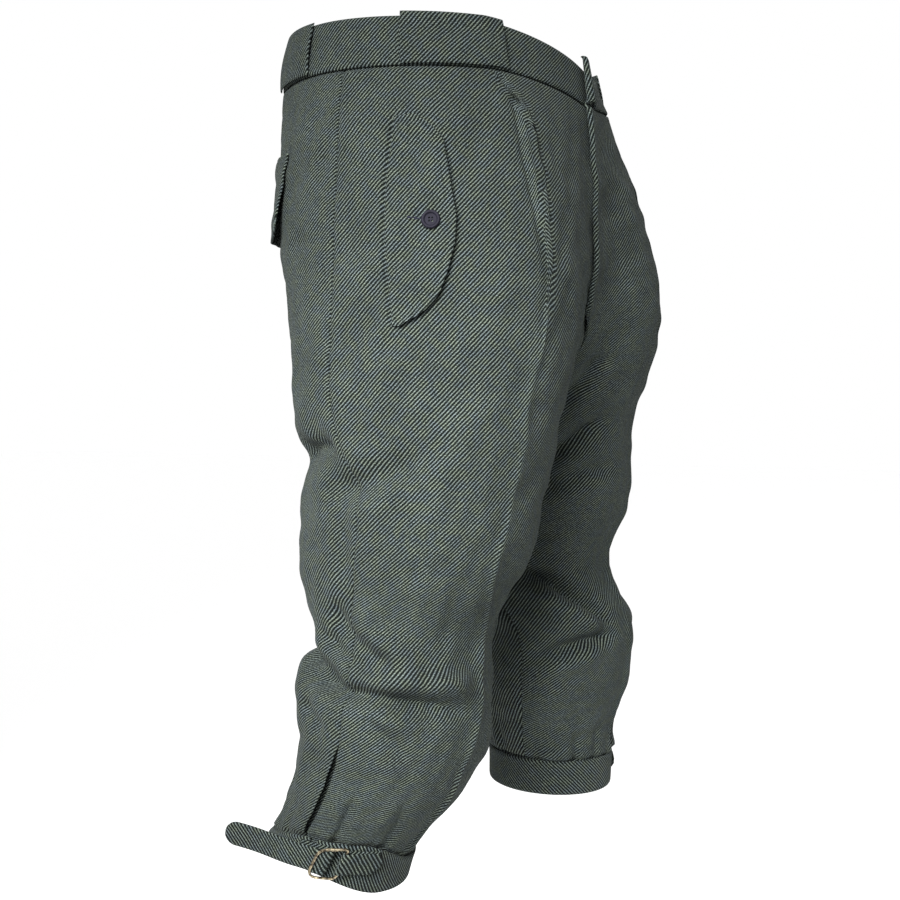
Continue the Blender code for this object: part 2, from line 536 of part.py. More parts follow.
def hip_flap(side, shade):
    """Flap of the hip pocket, sewn along its top and standing off the seat at its foot."""
    along = np.linspace(0, 1, 9)
    down = np.linspace(0, 1, 7)
    across = HIP_START + (HIP_END - HIP_START) * np.broadcast_to(along, (7, 9))
    corner = 1 - HIP_ROUND * (2 * abs(along - 0.5)) ** 6
    drop = HIP_TOP + HIP_DEPTH * down[:, None] * corner
    out = SEAM + FLAP_WALL + HIP_STAND * np.broadcast_to(down[:, None] ** 1.3, across.shape)
    cloth_wall(f"hip_flap_{SIDE_NAME[side]}", side, across, drop, shade, out, FLAP_WALL)


def button(side, shade):
    """Four-hole button with a raised rim, sewn on the side flap."""
    radius, thick = BUTTON_RADIUS, BUTTON_THICK
    profile = ((0.0, thick * 0.55), (radius * 0.60, thick * 0.55), (radius * 0.74, thick),
               (radius * 0.90, thick), (radius, thick * 0.6), (radius * 0.88, 0.0), (0.0, 0.0))
    mesh = bpy.data.meshes.new(f"button_{SIDE_NAME[side]}")
    shape = bmesh.new()
    points = [shape.verts.new((x, 0.0, z)) for x, z in profile]
    edges = [shape.edges.new(pair) for pair in zip(points, points[1:])]
    bmesh.ops.spin(shape, geom=points + edges, cent=(0, 0, 0), axis=(0, 0, 1),
                   angle=2 * math.pi, steps=24, use_merge=True)
    bmesh.ops.remove_doubles(shape, verts=shape.verts, dist=1e-6)
    bmesh.ops.recalc_face_normals(shape, faces=shape.faces)
    shape.to_mesh(mesh)
    shape.free()
    piece = add_piece(f"button_{SIDE_NAME[side]}", mesh, shade)
    place = (np.array(BUTTON_ACROSS), np.array(BUTTON_DROP))
    normal = mathutils.Vector(outward(side, *place))
    lift = FLAP_WALL + BUTTON_STAND
    piece.location = mathutils.Vector(skin(side, *place)) + normal * lift
    piece.rotation_euler = normal.to_track_quat("Z", "Y").to_euler()
    holes = bpy.data.meshes.new("button_holes")
    cutter = bmesh.new()
    for quarter in range(4):
        turn = math.pi / 4 + quarter * math.pi / 2
        spot = mathutils.Matrix.Translation((HOLE_OFFSET * math.cos(turn), HOLE_OFFSET * math.sin(turn), 0))
        bmesh.ops.create_cone(cutter, cap_ends=True, segments=8, radius1=HOLE_RADIUS,
                              radius2=HOLE_RADIUS, depth=0.02, matrix=spot)
    cutter.to_mesh(holes)
    cutter.free()
    tool = bpy.data.objects.new(f"holes_{SIDE_NAME[side]}", holes)
    CUTTERS.objects.link(tool)
    tool.parent = piece
    tool.hide_render = True
    tool.display_type = "WIRE"
    cut = piece.modifiers.new("holes", "BOOLEAN")
    cut.operation = "DIFFERENCE"
    cut.object = tool


def cuff(side, shade):
    """Doubled band round the leg, split at the vent."""
    across, drop = np.meshgrid(np.linspace(0.508, 1.492, 41),
                               np.linspace(CUFF_TOP[side] + SEAM, CUFF_FOOT[side], 3))
    if side == RIGHT:
        share = (CUFF_FOOT[side] - drop) / (CUFF_FOOT[side] - CUFF_TOP[side])
        position = np.mod(across, 1.0)
        narrower = CUFF_TAPER * ramp(position, 0.30, 0.50) * (1 - ramp(position, 0.62, 0.90))
        drop = drop + (BLOUSE * (1 - beside_vent(position)) + 2 * SEAM) * share - narrower * (1 - share)
    cloth_wall(f"cuff_{SIDE_NAME[side]}", side, across, drop, shade, 0.0, BAND_WALL, folded=False)


def on_cuff(side, ahead, up, out):
    """Point by the buckle: metres ahead of its centre, up from the cuff's middle, out from it."""
    middle = STRAP_MIDDLE[side]
    round_cuff = girth(side, middle)
    return on_cloth(side, BUCKLE_ACROSS - np.asarray(ahead) / round_cuff, middle - np.asarray(up), out, folded=False)


def ribbon(side, path, half_width, thickness):
    """Outer and inner grids of a band along a path of (ahead, out) points beside the cuff."""
    path = np.array(path)
    run = np.gradient(path, axis=0)
    run /= np.linalg.norm(run, axis=1, keepdims=True)
    normal = np.stack((-run[:, 1], run[:, 0]), axis=1) * thickness / 2
    level = np.linspace(-1, 1, 4) * np.broadcast_to(half_width, len(path))[:, None]
    faces = []
    for face in (path + normal, path - normal):
        ahead = np.broadcast_to(face[:, :1], level.shape)
        out = np.broadcast_to(face[:, 1:], level.shape)
        faces.append(on_cuff(side, ahead, level, out))
    return faces


def arc(centre, radius, start, end, count):
    angle = np.radians(np.linspace(start, end, count))
    return [(centre[0] + radius * math.cos(a), centre[1] + radius * math.sin(a)) for a in angle]


def free_end(side, start):
    """Directions of the strap's free end where it leaves the cuff: along it, up and out."""
    ahead, out = start
    along = on_cuff(side, ahead - TAIL_STEP, 0.0, out) - on_cuff(side, ahead, 0.0, out)
    along[2] = 0.0
    along /= np.linalg.norm(along)
    along[2] = TAIL_RISE
    along /= np.linalg.norm(along)
    up = on_cuff(side, ahead, TAIL_STEP, out) - on_cuff(side, ahead, -TAIL_STEP, out)
    up -= (up @ along) * along
    up /= np.linalg.norm(up)
    return along, up, np.cross(along, up) * side


def strap(side, shade):
    """Comes from under the buckle's rear bar, turns inside the frame and runs back straight."""
    under = [(-0.027, 0.0018), (-0.019, 0.0017), (-0.012, 0.0017), (-0.0075, 0.0017), (-0.003, 0.0018)]
    turn = arc((0.0, 0.0048), 0.0030, -70, 80, 7)
    start = (-0.0075, 0.0076)
    path = under + turn + [start]
    half = STRAP_WIDTH / 2
    outer, inner = ribbon(side, path, [half] * len(path), STRAP_WALL)
    along, up, out = free_end(side, start)
    length = np.concatenate((np.linspace(0.006, STRAP_TAIL - half, 4),
                             STRAP_TAIL - half * (1 - np.sin(np.linspace(0.2, 1.0, 7) * math.pi / 2))))
    to_tip = np.clip((length - STRAP_TAIL + half) / half, 0, 0.97)
    width = half * np.sqrt(1 - to_tip ** 2)
    centre = on_cuff(side, start[0], 0.0, start[1]) + length[:, None] * along
    rows = centre[:, None] + (np.linspace(-1, 1, 4) * width[:, None])[..., None] * up
    outer = np.concatenate((outer, rows - out * STRAP_WALL / 2))
    inner = np.concatenate((inner, rows + out * STRAP_WALL / 2))
    wall(f"strap_{SIDE_NAME[side]}", outer, inner, shade)


def buckle_tab(side, shade):
    """Folded round the buckle's front bar and sewn on the cuff with a pointed end."""
    bar = (BUCKLE_CENTRE + BUCKLE_LENGTH / 2, BUCKLE_OUT)
    under = [(0.040, 0.0014), (0.033, 0.0014), (0.026, 0.0014), (0.019, 0.0014)]
    wrap = arc(bar, WIRE_RADIUS + SEAM + TAB_WALL / 2, -85, -285, 9)
    over = [(0.0190, 0.0049), (0.0230, 0.0035), (0.030, 0.0034), (0.038, 0.0034), (0.044, 0.0034)]
    half = [TAB_HALF] * (len(under) + len(wrap) + 3) + [TAB_HALF * 0.95, 0.003]
    outer, inner = ribbon(side, under + wrap + over, half, TAB_WALL)
    wall(f"buckle_tab_{SIDE_NAME[side]}", outer, inner, shade)


def buckle(side, shade):
    """Wire frame with round corners, one closed loop, tilted up over the strap."""
    spline_points = []
    for forward, up, corner, start in ((1, 1, TAB_CORNER, 0), (-1, 1, BUCKLE_CORNER, 90),
                                       (-1, -1, BUCKLE_CORNER, 180), (1, -1, TAB_CORNER, 270)):
        centre = (forward * (BUCKLE_LENGTH / 2 - corner), up * (BUCKLE_HEIGHT / 2 - corner))
        spline_points += arc(centre, corner, start, start + 90, 5)
    bars = []
    for here, after in zip(spline_points, spline_points[1:] + spline_points[:1]):
        steps = BAR_POINTS if math.dist(here, after) > WIRE_RADIUS * 3 else 1
        bars += [tuple(np.array(here) + (np.array(after) - here) * step / steps) for step in range(steps)]
    curve = bpy.data.curves.new(f"buckle_{SIDE_NAME[side]}", "CURVE")
    curve.dimensions = "3D"
    curve.bevel_depth = WIRE_RADIUS
    curve.bevel_resolution = 2
    line = curve.splines.new("POLY")
    line.points.add(len(bars) - 1)
    line.use_cyclic_u = True
    for point, (ahead, up) in zip(line.points, bars):
        out = BUCKLE_OUT + BUCKLE_RISE * (0.5 - ahead / BUCKLE_LENGTH)
        point.co = (*on_cuff(side, BUCKLE_CENTRE + ahead, up, out), 1.0)
    frame = bpy.data.objects.new(f"buckle_{SIDE_NAME[side]}", curve)
    PARTS.objects.link(frame)
    curve.materials.append(shade)


def main():
    for item in list(bpy.data.objects):
        bpy.data.objects.remove(item, do_unlink=True)
    for group in (PARTS, CUTTERS):
        bpy.context.scene.collection.children.link(group)
    wool = material("wool_twill", (0.045, 0.052, 0.045), 0.9)
    brass = material("buckle_brass", (0.62, 0.55, 0.40), 0.3, 1.0)
    plastic = material("button_plastic", (0.012, 0.010, 0.018), 0.35)
    for side in (RIGHT, LEFT):
        front_panel(side, wool)
        back_panel(side, wool)
        vent_underlap(side, wool)
        waistband(side, wool)
        for label, start, span, above in LOOPS:
            belt_loop(label, side, start, span, above, wool)
        side_flap(side, wool)
        hip_flap(side, wool)
        cuff(side, wool)
        strap(side, wool)
        buckle_tab(side, wool)
        buckle(side, brass)
        button(side, plastic)


PARTS = bpy.data.collections.new("knickerbockers")
CUTTERS = bpy.data.collections.new("cutters")
main()
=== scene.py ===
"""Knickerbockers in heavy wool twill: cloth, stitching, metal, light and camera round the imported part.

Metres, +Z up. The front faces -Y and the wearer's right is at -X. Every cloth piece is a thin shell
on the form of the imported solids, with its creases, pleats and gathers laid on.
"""
import math

import bpy
import mathutils
import numpy as np
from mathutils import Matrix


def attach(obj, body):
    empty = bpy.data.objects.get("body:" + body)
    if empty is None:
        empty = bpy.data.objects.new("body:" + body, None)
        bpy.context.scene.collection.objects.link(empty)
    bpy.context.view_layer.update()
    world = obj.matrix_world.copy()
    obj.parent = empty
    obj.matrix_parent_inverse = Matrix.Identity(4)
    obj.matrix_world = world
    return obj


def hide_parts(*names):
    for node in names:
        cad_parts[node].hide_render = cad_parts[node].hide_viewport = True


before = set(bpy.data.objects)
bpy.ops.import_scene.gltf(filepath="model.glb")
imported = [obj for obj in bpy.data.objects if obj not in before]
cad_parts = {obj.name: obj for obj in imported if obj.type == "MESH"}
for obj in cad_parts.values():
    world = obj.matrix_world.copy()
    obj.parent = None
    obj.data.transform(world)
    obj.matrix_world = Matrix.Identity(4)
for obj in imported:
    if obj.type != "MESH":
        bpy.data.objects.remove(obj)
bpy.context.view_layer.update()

MM = 0.001
RIGHT = -1
LEFT = 1
SIDES = (RIGHT, LEFT)
SIDE_NAME = {RIGHT: "right", LEFT: "left"}

# Sizes of the cut, as in the part. "Across" runs round each half from 0 at the centre front to 1 at
# the centre back, and "drop" runs down from the waist in metres.
WALL = 0.0020
BAND_WALL = 0.0032
SEAM = 0.0003
BAND_TOP = 0.006
BAND_FOOT = 0.048
WAIST_RISE = 0.010
DIP_EASE = 1.2
FORK_DROP = 0.360
FLY_DROP = 0.248
FLY_LAP = 0.012
CREASE = 0.25
SIDE_SEAM = 0.5
BACK_GRAIN = 0.75         # line across that the backs' ribs are laid from
ARC_STEPS = 64
CLOTH_GIRTH = 0.50        # usual length round a half, in metres
LAP_SCALE = 0.52

# Vents at the foot of the side seams
VENT_LENGTH = 0.078
VENT_LIFT = 0.0040
VENT_LIFT_ROUND = 0.4
VENT_SHIFT = 0.0020
VENT_SHIFTS = (0.65, 0.92)
VENT_GAP = 0.0032         # the front's edge draws back this far where the vent is open
VENT_PUSH = 0.0020
VENT_EASE = 0.012
VENT_TAPER = 0.012
VENT_LOW = 1.3            # the slit is widest below its middle
VENT_ROUND = 0.8
VENT_AHEAD = (0.20, 0.40)
VENT_BEHIND = (0.50, 0.72)
VENT_STITCHING = (-0.006, 0.004)
VENT_STITCH_AT = 0.0034
STITCHED = 0.0070         # width of the finely gridded edge beside the vent
STITCHED_COLUMNS = (0, 0.0004, 0.0013, 0.0021, 0.0028, 0.0034, 0.0040, 0.0047, 0.0058)
STITCH_SINK = 0.0009
STITCH_HALF = 0.0009
SHUT_SINK = 0.0010
SHUT_REACH = 0.0022
SLIT_REACH = 0.02
LEAN_REACH = 0.12
UNDERLAP = (0.235, 0.2725)
UNDERLAP_DROP = 0.004
UNDERLAP_SINK = 0.010
UNDERLAP_WALL = 0.0015
BLOUSE = 0.018
BLOUSE_TOP = 0.590

# Waistband and belt loops
BAND_PROUD = 0.0006
BAND_GIRTH_DROP = 0.03
BAND_LAP = 0.014
BAND_TIP = 0.007
BAND_TIP_ACROSS = 0.004
BAND_SLOPE = (0.008, 0.070)
BAND_END_OUT = 0.003
BAND_END_ACROSS = 0.012
BAND_LEAN = 0.008         # beside its end the left waistband leans in and sags at the top
BAND_SAG = 0.010
BAND_SAGS = (0.006, 0.034)
BAND_RECOVERS = (0.08, 0.26)
BAND_ROLL = 0.0022        # its end is turned thick, most at the foot
BAND_ROLL_FOOT = 0.0018
LOOP_WALL = 0.0018
LOOP_BULGE = 0.0022
LOOP_LIFT = (0.0, 0.3)
# Belt loops of each half: where each starts across the half, its width and how far it stands
# above the waistband.
LOOPS = (("side", 0.218, 0.181, 0.003), ("back", 0.580, 0.158, 0.001))

# Pocket flaps, buttonholes and buttons
FLAP_WALL = 0.0022
FLAP_TOP = 0.091
FLAP_FOOT = 0.257
FLAP_HINGE = 0.424
FLAP_BOW = 0.012
FLAP_SCALE = 0.74
FLAP_WIDEST = 0.059
FLAP_STAND = 0.0036
FLAP_STITCH_AT = 0.0055
FLAP_STITCH_SINK = 0.0006
FLAP_WIDTHS = ((0.0, 0.019), (0.05, 0.033), (0.12, 0.046), (0.28, 0.053), (0.49, 0.059), (0.61, 0.057),
               (0.75, 0.049), (0.86, 0.040), (0.94, 0.026), (1.0, 0.006))
HINGE_SINK = 0.0020
HINGE_HALF = 0.0012
HINGE_STARTS = (-0.01, 0.02)
HINGE_ENDS = (0.97, 1.0)
HOLE_LENGTH = 0.0135      # the worked buttonhole behind each button
HOLE_WIDTH = 0.0020
HOLE_RISE = 0.0007
HOLE_STITCH = 0.0018
HOLE_TWIST = 0.4          # share of the rise that comes and goes with each stitch
HOLE_BEHIND = 0.0175
HOLE_ABOVE = 0.0015
HOLE_SLOPE = 0.15
BUTTON_ACROSS = 0.384
BUTTON_DROP = 0.175
HIP_START = 0.635
HIP_END = 0.880
HIP_TOP = 0.109
HIP_DEPTH = 0.069
HIP_ROUND = 0.25
HIP_SQUARE = 6
HIP_STAND = 0.006
HIP_CURVE = 1.3
# Each flap and loop is cut from another place of the cloth, so its ribs don't meet its neighbour's.
LOOP_CUT = 0.011
SIDE_FLAP_CUT = 0.0083
HIP_FLAP_CUT = 0.0071

# Cuffs, straps, buckles and tabs. Paths are (ahead, out) from the buckle's centre.
CUFF_TOP = {RIGHT: 0.655, LEFT: 0.652}
CUFF_FOOT = {RIGHT: 0.690, LEFT: 0.685}
CUFF_GIRTH = 0.38
CUFF_ENDS = (0.508, 1.492)
CUFF_TAPER = 0.010
CUFF_NARROWS = (0.30, 0.50)
CUFF_WIDENS = (0.62, 0.90)
STRAP_WIDTH = 0.0195
STRAP_WALL = 0.0020
STRAP_TAIL = 0.079
STRAP_MIDDLE = {RIGHT: 0.6670, LEFT: 0.6685}
STRAP_UNDER = [(-0.027, 0.0018), (-0.019, 0.0017), (-0.012, 0.0017), (-0.0075, 0.0017), (-0.003, 0.0018)]
STRAP_TURN = ((0.0, 0.0048), 0.0030, -70, 80, 7)
STRAP_OFF = (-0.0075, 0.0076)
STRAP_CURL = 0.0012       # slight wave of the free end
STRAP_WAVES = 2.2
CURL_STARTS = 0.03
TAIL_STEP = 0.004
TAIL_RISE = 0.19
TAIL_ROW = 0.0016
TIP_POINTS = 12
TIP_END = 0.995
BUCKLE_ACROSS = 0.451
BUCKLE_LENGTH = 0.020
BUCKLE_CENTRE = 0.0025
BUCKLE_OUT = 0.0043
WIRE_RADIUS = 0.0011
TAB_WALL = 0.0015
TAB_HALF = 0.0085
TAB_POINT = 0.003
TAB_UNDER = [(0.040, 0.0014), (0.033, 0.0014), (0.026, 0.0014), (0.019, 0.0014)]
TAB_WRAP = (-85, -285, 9)
TAB_OVER = [(0.0190, 0.0049), (0.0230, 0.0035), (0.030, 0.0034), (0.038, 0.0034), (0.044, 0.0034)]
RIBBON_SHARE = np.array((-1.0, -0.985, -0.94, -0.86, -0.6, -0.3, 0.0, 0.3, 0.6, 0.86, 0.94, 0.985, 1.0))
RIBBON_STEP = 0.0015
RIBBON_ROUND = 0.8

# Sections of each half, from the waist down
COLUMNS = ("drop", "slope", "dip", "fork_x", "fork_front", "fork_back", "turn",
           "front_x", "front_y", "side_x", "side_y", "back_x", "back_y", "crease")
WAIST_SECTIONS = (
    (0.006, 0.032, 0.021, 0.000, -0.134, 0.114, 0.0, 0.006, -0.134, 0.158, 0.008, 0.050, 0.113, 0.50),
    (0.048, 0.000, 0.016, 0.000, -0.139, 0.121, 0.0, 0.010, -0.139, 0.165, 0.008, 0.050, 0.120, 0.47),
)
RIGHT_SECTIONS = WAIST_SECTIONS + (
    (0.090, 0.000, 0.012, 0.000, -0.142, 0.120, 0.0, 0.045, -0.143, 0.174, 0.006, 0.050, 0.119, 0.30),
    (0.135, 0.000, 0.008, 0.000, -0.144, 0.118, 0.0, 0.060, -0.150, 0.180, 0.005, 0.055, 0.116, 0.25),
    (0.184, 0.000, 0.004, 0.000, -0.145, 0.111, 0.0, 0.070, -0.155, 0.185, 0.004, 0.060, 0.110, 0.22),
    (0.235, 0.000, 0.000, 0.000, -0.138, 0.097, 0.1, 0.080, -0.156, 0.190, 0.002, 0.070, 0.095, 0.20),
    (0.290, 0.000, 0.000, 0.000, -0.116, 0.076, 0.3, 0.092, -0.153, 0.197, 0.000, 0.085, 0.081, 0.21),
    (0.325, 0.000, 0.000, 0.000, -0.080, 0.050, 0.5, 0.100, -0.149, 0.202, -0.006, 0.095, 0.074, 0.22),
    (0.347, 0.000, 0.000, 0.000, -0.038, 0.022, 0.8, 0.104, -0.145, 0.205, -0.014, 0.100, 0.069, 0.20),
    (0.360, 0.000, 0.000, 0.000, -0.010, -0.010, 1.0, 0.107, -0.142, 0.206, -0.020, 0.104, 0.062, 0.20),
    (0.396, 0.000, 0.000, 0.016, -0.030, -0.030, 1.0, 0.112, -0.137, 0.207, -0.032, 0.112, 0.063, 0.22),
    (0.445, 0.000, 0.000, 0.030, -0.031, -0.031, 1.0, 0.118, -0.125, 0.206, -0.027, 0.118, 0.063, 0.22),
    (0.495, 0.000, 0.000, 0.044, -0.024, -0.024, 1.0, 0.124, -0.098, 0.204, -0.022, 0.124, 0.049, 0.02),
    (0.544, 0.020, 0.000, 0.049, -0.019, -0.019, 1.0, 0.129, -0.101, 0.209, -0.019, 0.129, 0.062, 0.05),
    (0.594, 0.050, 0.000, 0.056, -0.018, -0.018, 1.0, 0.133, -0.096, 0.209, -0.018, 0.133, 0.055, 0.14),
    (0.628, 0.080, 0.000, 0.066, -0.006, -0.006, 1.0, 0.137, -0.072, 0.206, -0.006, 0.137, 0.063, 0.10),
    (0.655, 0.110, 0.000, 0.078, 0.012, 0.012, 1.0, 0.139, -0.048, 0.200, 0.012, 0.139, 0.073, 0.05),
    (0.677, 0.160, 0.000, 0.079, 0.024, 0.024, 1.0, 0.139, -0.035, 0.200, 0.024, 0.139, 0.084, 0.05),
    (0.690, 0.230, 0.000, 0.079, 0.032, 0.032, 1.0, 0.140, -0.030, 0.201, 0.032, 0.140, 0.094, 0.05),
)
LEFT_SECTIONS = WAIST_SECTIONS + (
    (0.090, 0.000, 0.012, 0.000, -0.142, 0.120, 0.0, 0.030, -0.144, 0.174, 0.006, 0.050, 0.119, 0.30),
    (0.135, 0.000, 0.008, 0.000, -0.144, 0.118, 0.0, 0.055, -0.154, 0.182, 0.003, 0.055, 0.116, 0.25),
    (0.184, 0.000, 0.004, 0.000, -0.145, 0.111, 0.0, 0.075, -0.162, 0.187, 0.000, 0.060, 0.110, 0.22),
    (0.235, 0.000, 0.000, 0.000, -0.138, 0.097, 0.1, 0.085, -0.166, 0.192, -0.008, 0.070, 0.096, 0.20),
    (0.290, 0.000, 0.000, 0.000, -0.116, 0.076, 0.3, 0.095, -0.151, 0.197, -0.012, 0.085, 0.083, 0.21),
    (0.325, 0.000, 0.000, 0.000, -0.080, 0.050, 0.5, 0.100, -0.135, 0.200, -0.018, 0.095, 0.075, 0.22),
    (0.347, 0.000, 0.000, 0.000, -0.038, 0.022, 0.8, 0.104, -0.129, 0.203, -0.022, 0.100, 0.069, 0.20),
    (0.360, 0.000, 0.000, 0.000, -0.010, -0.010, 1.0, 0.106, -0.128, 0.204, -0.024, 0.104, 0.062, 0.20),
    (0.396, 0.000, 0.000, 0.016, -0.026, -0.026, 1.0, 0.112, -0.127, 0.207, -0.031, 0.112, 0.062, 0.18),
    (0.470, 0.000, 0.000, 0.032, -0.021, -0.021, 1.0, 0.118, -0.103, 0.205, -0.021, 0.118, 0.061, 0.10),
    (0.530, 0.000, 0.000, 0.044, -0.050, -0.050, 1.0, 0.124, -0.125, 0.204, -0.050, 0.124, 0.030, 0.05),
    (0.589, 0.020, 0.000, 0.051, -0.050, -0.050, 1.0, 0.129, -0.117, 0.207, -0.050, 0.129, 0.022, 0.05),
    (0.625, 0.040, 0.000, 0.066, -0.044, -0.044, 1.0, 0.134, -0.103, 0.204, -0.044, 0.134, 0.021, 0.05),
    (0.652, 0.040, 0.000, 0.075, -0.042, -0.042, 1.0, 0.137, -0.102, 0.198, -0.042, 0.137, 0.019, 0.05),
    (0.685, 0.040, 0.000, 0.080, -0.039, -0.039, 1.0, 0.140, -0.099, 0.200, -0.039, 0.140, 0.020, 0.05),
)
SECTIONS = {RIGHT: np.array(RIGHT_SECTIONS), LEFT: np.array(LEFT_SECTIONS)}

# Creases of each half. Each row: points as (across, drop), half width, height (+ is a ridge), and
# edge, the power of its profile: the lower, the sharper its bottom.
SOFT, FIRM = 2.0, 1.5
RIGHT_CREASES = (
    (((0.560, 0.384), (0.505, 0.380), (0.445, 0.370), (0.380, 0.347)), 0.012, -0.0052, SOFT),
    (((0.540, 0.400), (0.480, 0.394), (0.420, 0.380)), 0.016, 0.0025, SOFT),
    (((0.500, 0.346), (0.560, 0.352), (0.660, 0.362)), 0.011, -0.0090, FIRM),
    (((0.640, 0.366), (0.760, 0.366), (0.860, 0.352)), 0.014, -0.0070, SOFT),
    (((0.515, 0.372), (0.525, 0.412), (0.515, 0.450), (0.500, 0.475)), 0.007, -0.0022, SOFT),
    (((0.540, 0.462), (0.525, 0.484), (0.475, 0.502), (0.440, 0.512), (0.400, 0.526)),
     0.0085, -0.0062, FIRM),
    (((0.500, 0.470), (0.465, 0.492), (0.430, 0.503), (0.370, 0.520)), 0.009, 0.0030, SOFT),
    (((0.580, 0.487), (0.535, 0.503), (0.500, 0.512), (0.450, 0.520), (0.410, 0.533)),
     0.0075, -0.0052, FIRM),
    (((0.660, 0.512), (0.580, 0.520), (0.500, 0.532)), 0.010, -0.0060, SOFT),
    (((0.645, 0.532), (0.570, 0.532), (0.515, 0.537), (0.455, 0.538), (0.385, 0.542), (0.330, 0.546),
      (0.265, 0.557)), 0.0068, -0.0095, FIRM),
    (((0.480, 0.524), (0.400, 0.528), (0.330, 0.531), (0.265, 0.534)), 0.010, 0.0052, SOFT),
    (((0.500, 0.548), (0.440, 0.553), (0.360, 0.560)), 0.009, 0.0026, SOFT),
    (((0.480, 0.545), (0.450, 0.557), (0.415, 0.570), (0.372, 0.588)), 0.0065, -0.0040, FIRM),
    (((0.610, 0.552), (0.565, 0.562), (0.545, 0.575)), 0.007, -0.0028, SOFT),
    (((0.920, 0.500), (0.820, 0.520), (0.720, 0.540)), 0.012, -0.0060, FIRM),
    (((0.590, 0.506), (0.680, 0.506), (0.760, 0.508)), 0.012, -0.0060, SOFT),
    (((0.880, 0.440), (0.790, 0.446), (0.700, 0.462)), 0.014, -0.0050, SOFT),
    (((0.940, 0.545), (0.860, 0.556), (0.790, 0.560)), 0.009, -0.0040, FIRM),
    (((0.050, 0.548), (0.130, 0.556), (0.210, 0.560)), 0.009, -0.0050, FIRM),
    (((0.040, 0.500), (0.110, 0.512), (0.170, 0.528)), 0.011, -0.0035, SOFT),
    (((0.030, 0.400), (0.080, 0.372), (0.110, 0.330)), 0.013, -0.0040, SOFT),
)
LEFT_CREASES = (
    (((0.030, 0.466), (0.065, 0.470), (0.125, 0.490), (0.185, 0.516), (0.200, 0.528)),
     0.0075, -0.0088, FIRM),
    (((0.070, 0.485), (0.120, 0.508), (0.170, 0.527)), 0.010, 0.0052, SOFT),
    (((0.215, 0.530), (0.150, 0.533), (0.085, 0.540), (0.025, 0.550), (0.000, 0.555)),
     0.0062, -0.0072, FIRM),
    (((0.170, 0.544), (0.100, 0.552), (0.040, 0.562)), 0.010, 0.0025, SOFT),
    (((0.060, 0.400), (0.100, 0.371), (0.125, 0.343), (0.145, 0.320)), 0.0095, -0.0062, FIRM),
    (((0.080, 0.405), (0.115, 0.386), (0.160, 0.376), (0.200, 0.376)), 0.010, -0.0034, SOFT),
    (((0.035, 0.325), (0.055, 0.298), (0.075, 0.268)), 0.012, -0.0045, SOFT),
    (((0.500, 0.348), (0.580, 0.354), (0.660, 0.362)), 0.011, -0.0080, FIRM),
    (((0.640, 0.366), (0.760, 0.366), (0.860, 0.352)), 0.014, -0.0070, SOFT),
    (((0.560, 0.440), (0.480, 0.458), (0.410, 0.482)), 0.012, -0.0050, SOFT),
    (((0.680, 0.500), (0.590, 0.512), (0.500, 0.530)), 0.010, -0.0060, FIRM),
    (((0.470, 0.520), (0.390, 0.534), (0.300, 0.548)), 0.009, -0.0056, FIRM),
    (((0.450, 0.504), (0.380, 0.518), (0.310, 0.531)), 0.011, 0.0030, SOFT),
    (((0.900, 0.470), (0.800, 0.484), (0.700, 0.505)), 0.012, -0.0060, SOFT),
    (((0.880, 0.540), (0.800, 0.546), (0.720, 0.556)), 0.010, -0.0050, FIRM),
    (((0.560, 0.560), (0.500, 0.572), (0.450, 0.584)), 0.009, -0.0030, SOFT),
)
CREASES = {RIGHT: RIGHT_CREASES, LEFT: LEFT_CREASES}
# Gathers above each cuff: across at the cuff, lean at the top, length, half width, height.
GATHERS = {
    RIGHT: (
        (0.452, 0.010, 0.045, 0.0050, -0.0040),
        (0.415, 0.020, 0.030, 0.0060, 0.0020),
        (0.335, 0.015, 0.038, 0.0060, -0.0030),
        (0.240, 0.000, 0.030, 0.0060, -0.0025),
        (0.120, -0.01, 0.040, 0.0060, -0.0030),
        (0.020, 0.010, 0.030, 0.0060, -0.0025),
        (0.900, 0.000, 0.042, 0.0060, -0.0030),
        (0.790, -0.01, 0.034, 0.0060, -0.0030),
        (0.680, -0.02, 0.046, 0.0065, -0.0035),
        (0.590, -0.01, 0.030, 0.0060, -0.0025),
    ),
    LEFT: (
        (0.125, 0.000, 0.030, 0.0050, -0.0038),
        (0.180, 0.010, 0.042, 0.0060, -0.0030),
        (0.270, 0.015, 0.036, 0.0060, -0.0035),
        (0.350, 0.010, 0.030, 0.0060, -0.0025),
        (0.430, 0.010, 0.044, 0.0060, -0.0035),
        (0.030, 0.000, 0.028, 0.0060, -0.0020),
        (0.930, 0.000, 0.036, 0.0060, -0.0030),
        (0.830, -0.01, 0.044, 0.0060, -0.0030),
        (0.720, -0.02, 0.032, 0.0060, -0.0035),
        (0.610, -0.01, 0.040, 0.0060, -0.0030),
    ),
}
GATHER_TUCK = 0.020       # a gather goes on this far below the cuff seam
CREASE_DEEP = {SOFT: 2.2, FIRM: 1.75}    # finished creases are deeper than those of the cut form
CREASE_REACH = 4
CREASE_RISES = (-0.02, 0.28)
CREASE_FADES = (0.72, 1.02)

# Front pleat, and the crease pressed on below it
PLEAT_FOOT = 0.290
PLEAT_FADE = 0.090
PLEAT_ABOVE = 0.006
PLEAT_BELOW = 0.030
PLEAT_EDGE = 0.0010
PLEAT_RISE = 0.0038
PLEAT_SINK = 0.0024
PLEAT_SPREAD = 0.030
PLEAT_SHADE = 0.0024
PLEAT_TUCK = 0.0044       # the upper layer overhangs the lower by about this much
PLEAT_HALF = 0.0050       # half of the cloth taken up in the fold
PLEAT_CLEAR = 0.03
EXTRA_REACH = 1.3
EXTRA_ROWS = 6
CREASE_RISE = 0.0025
CREASE_WIDTH = 0.0045
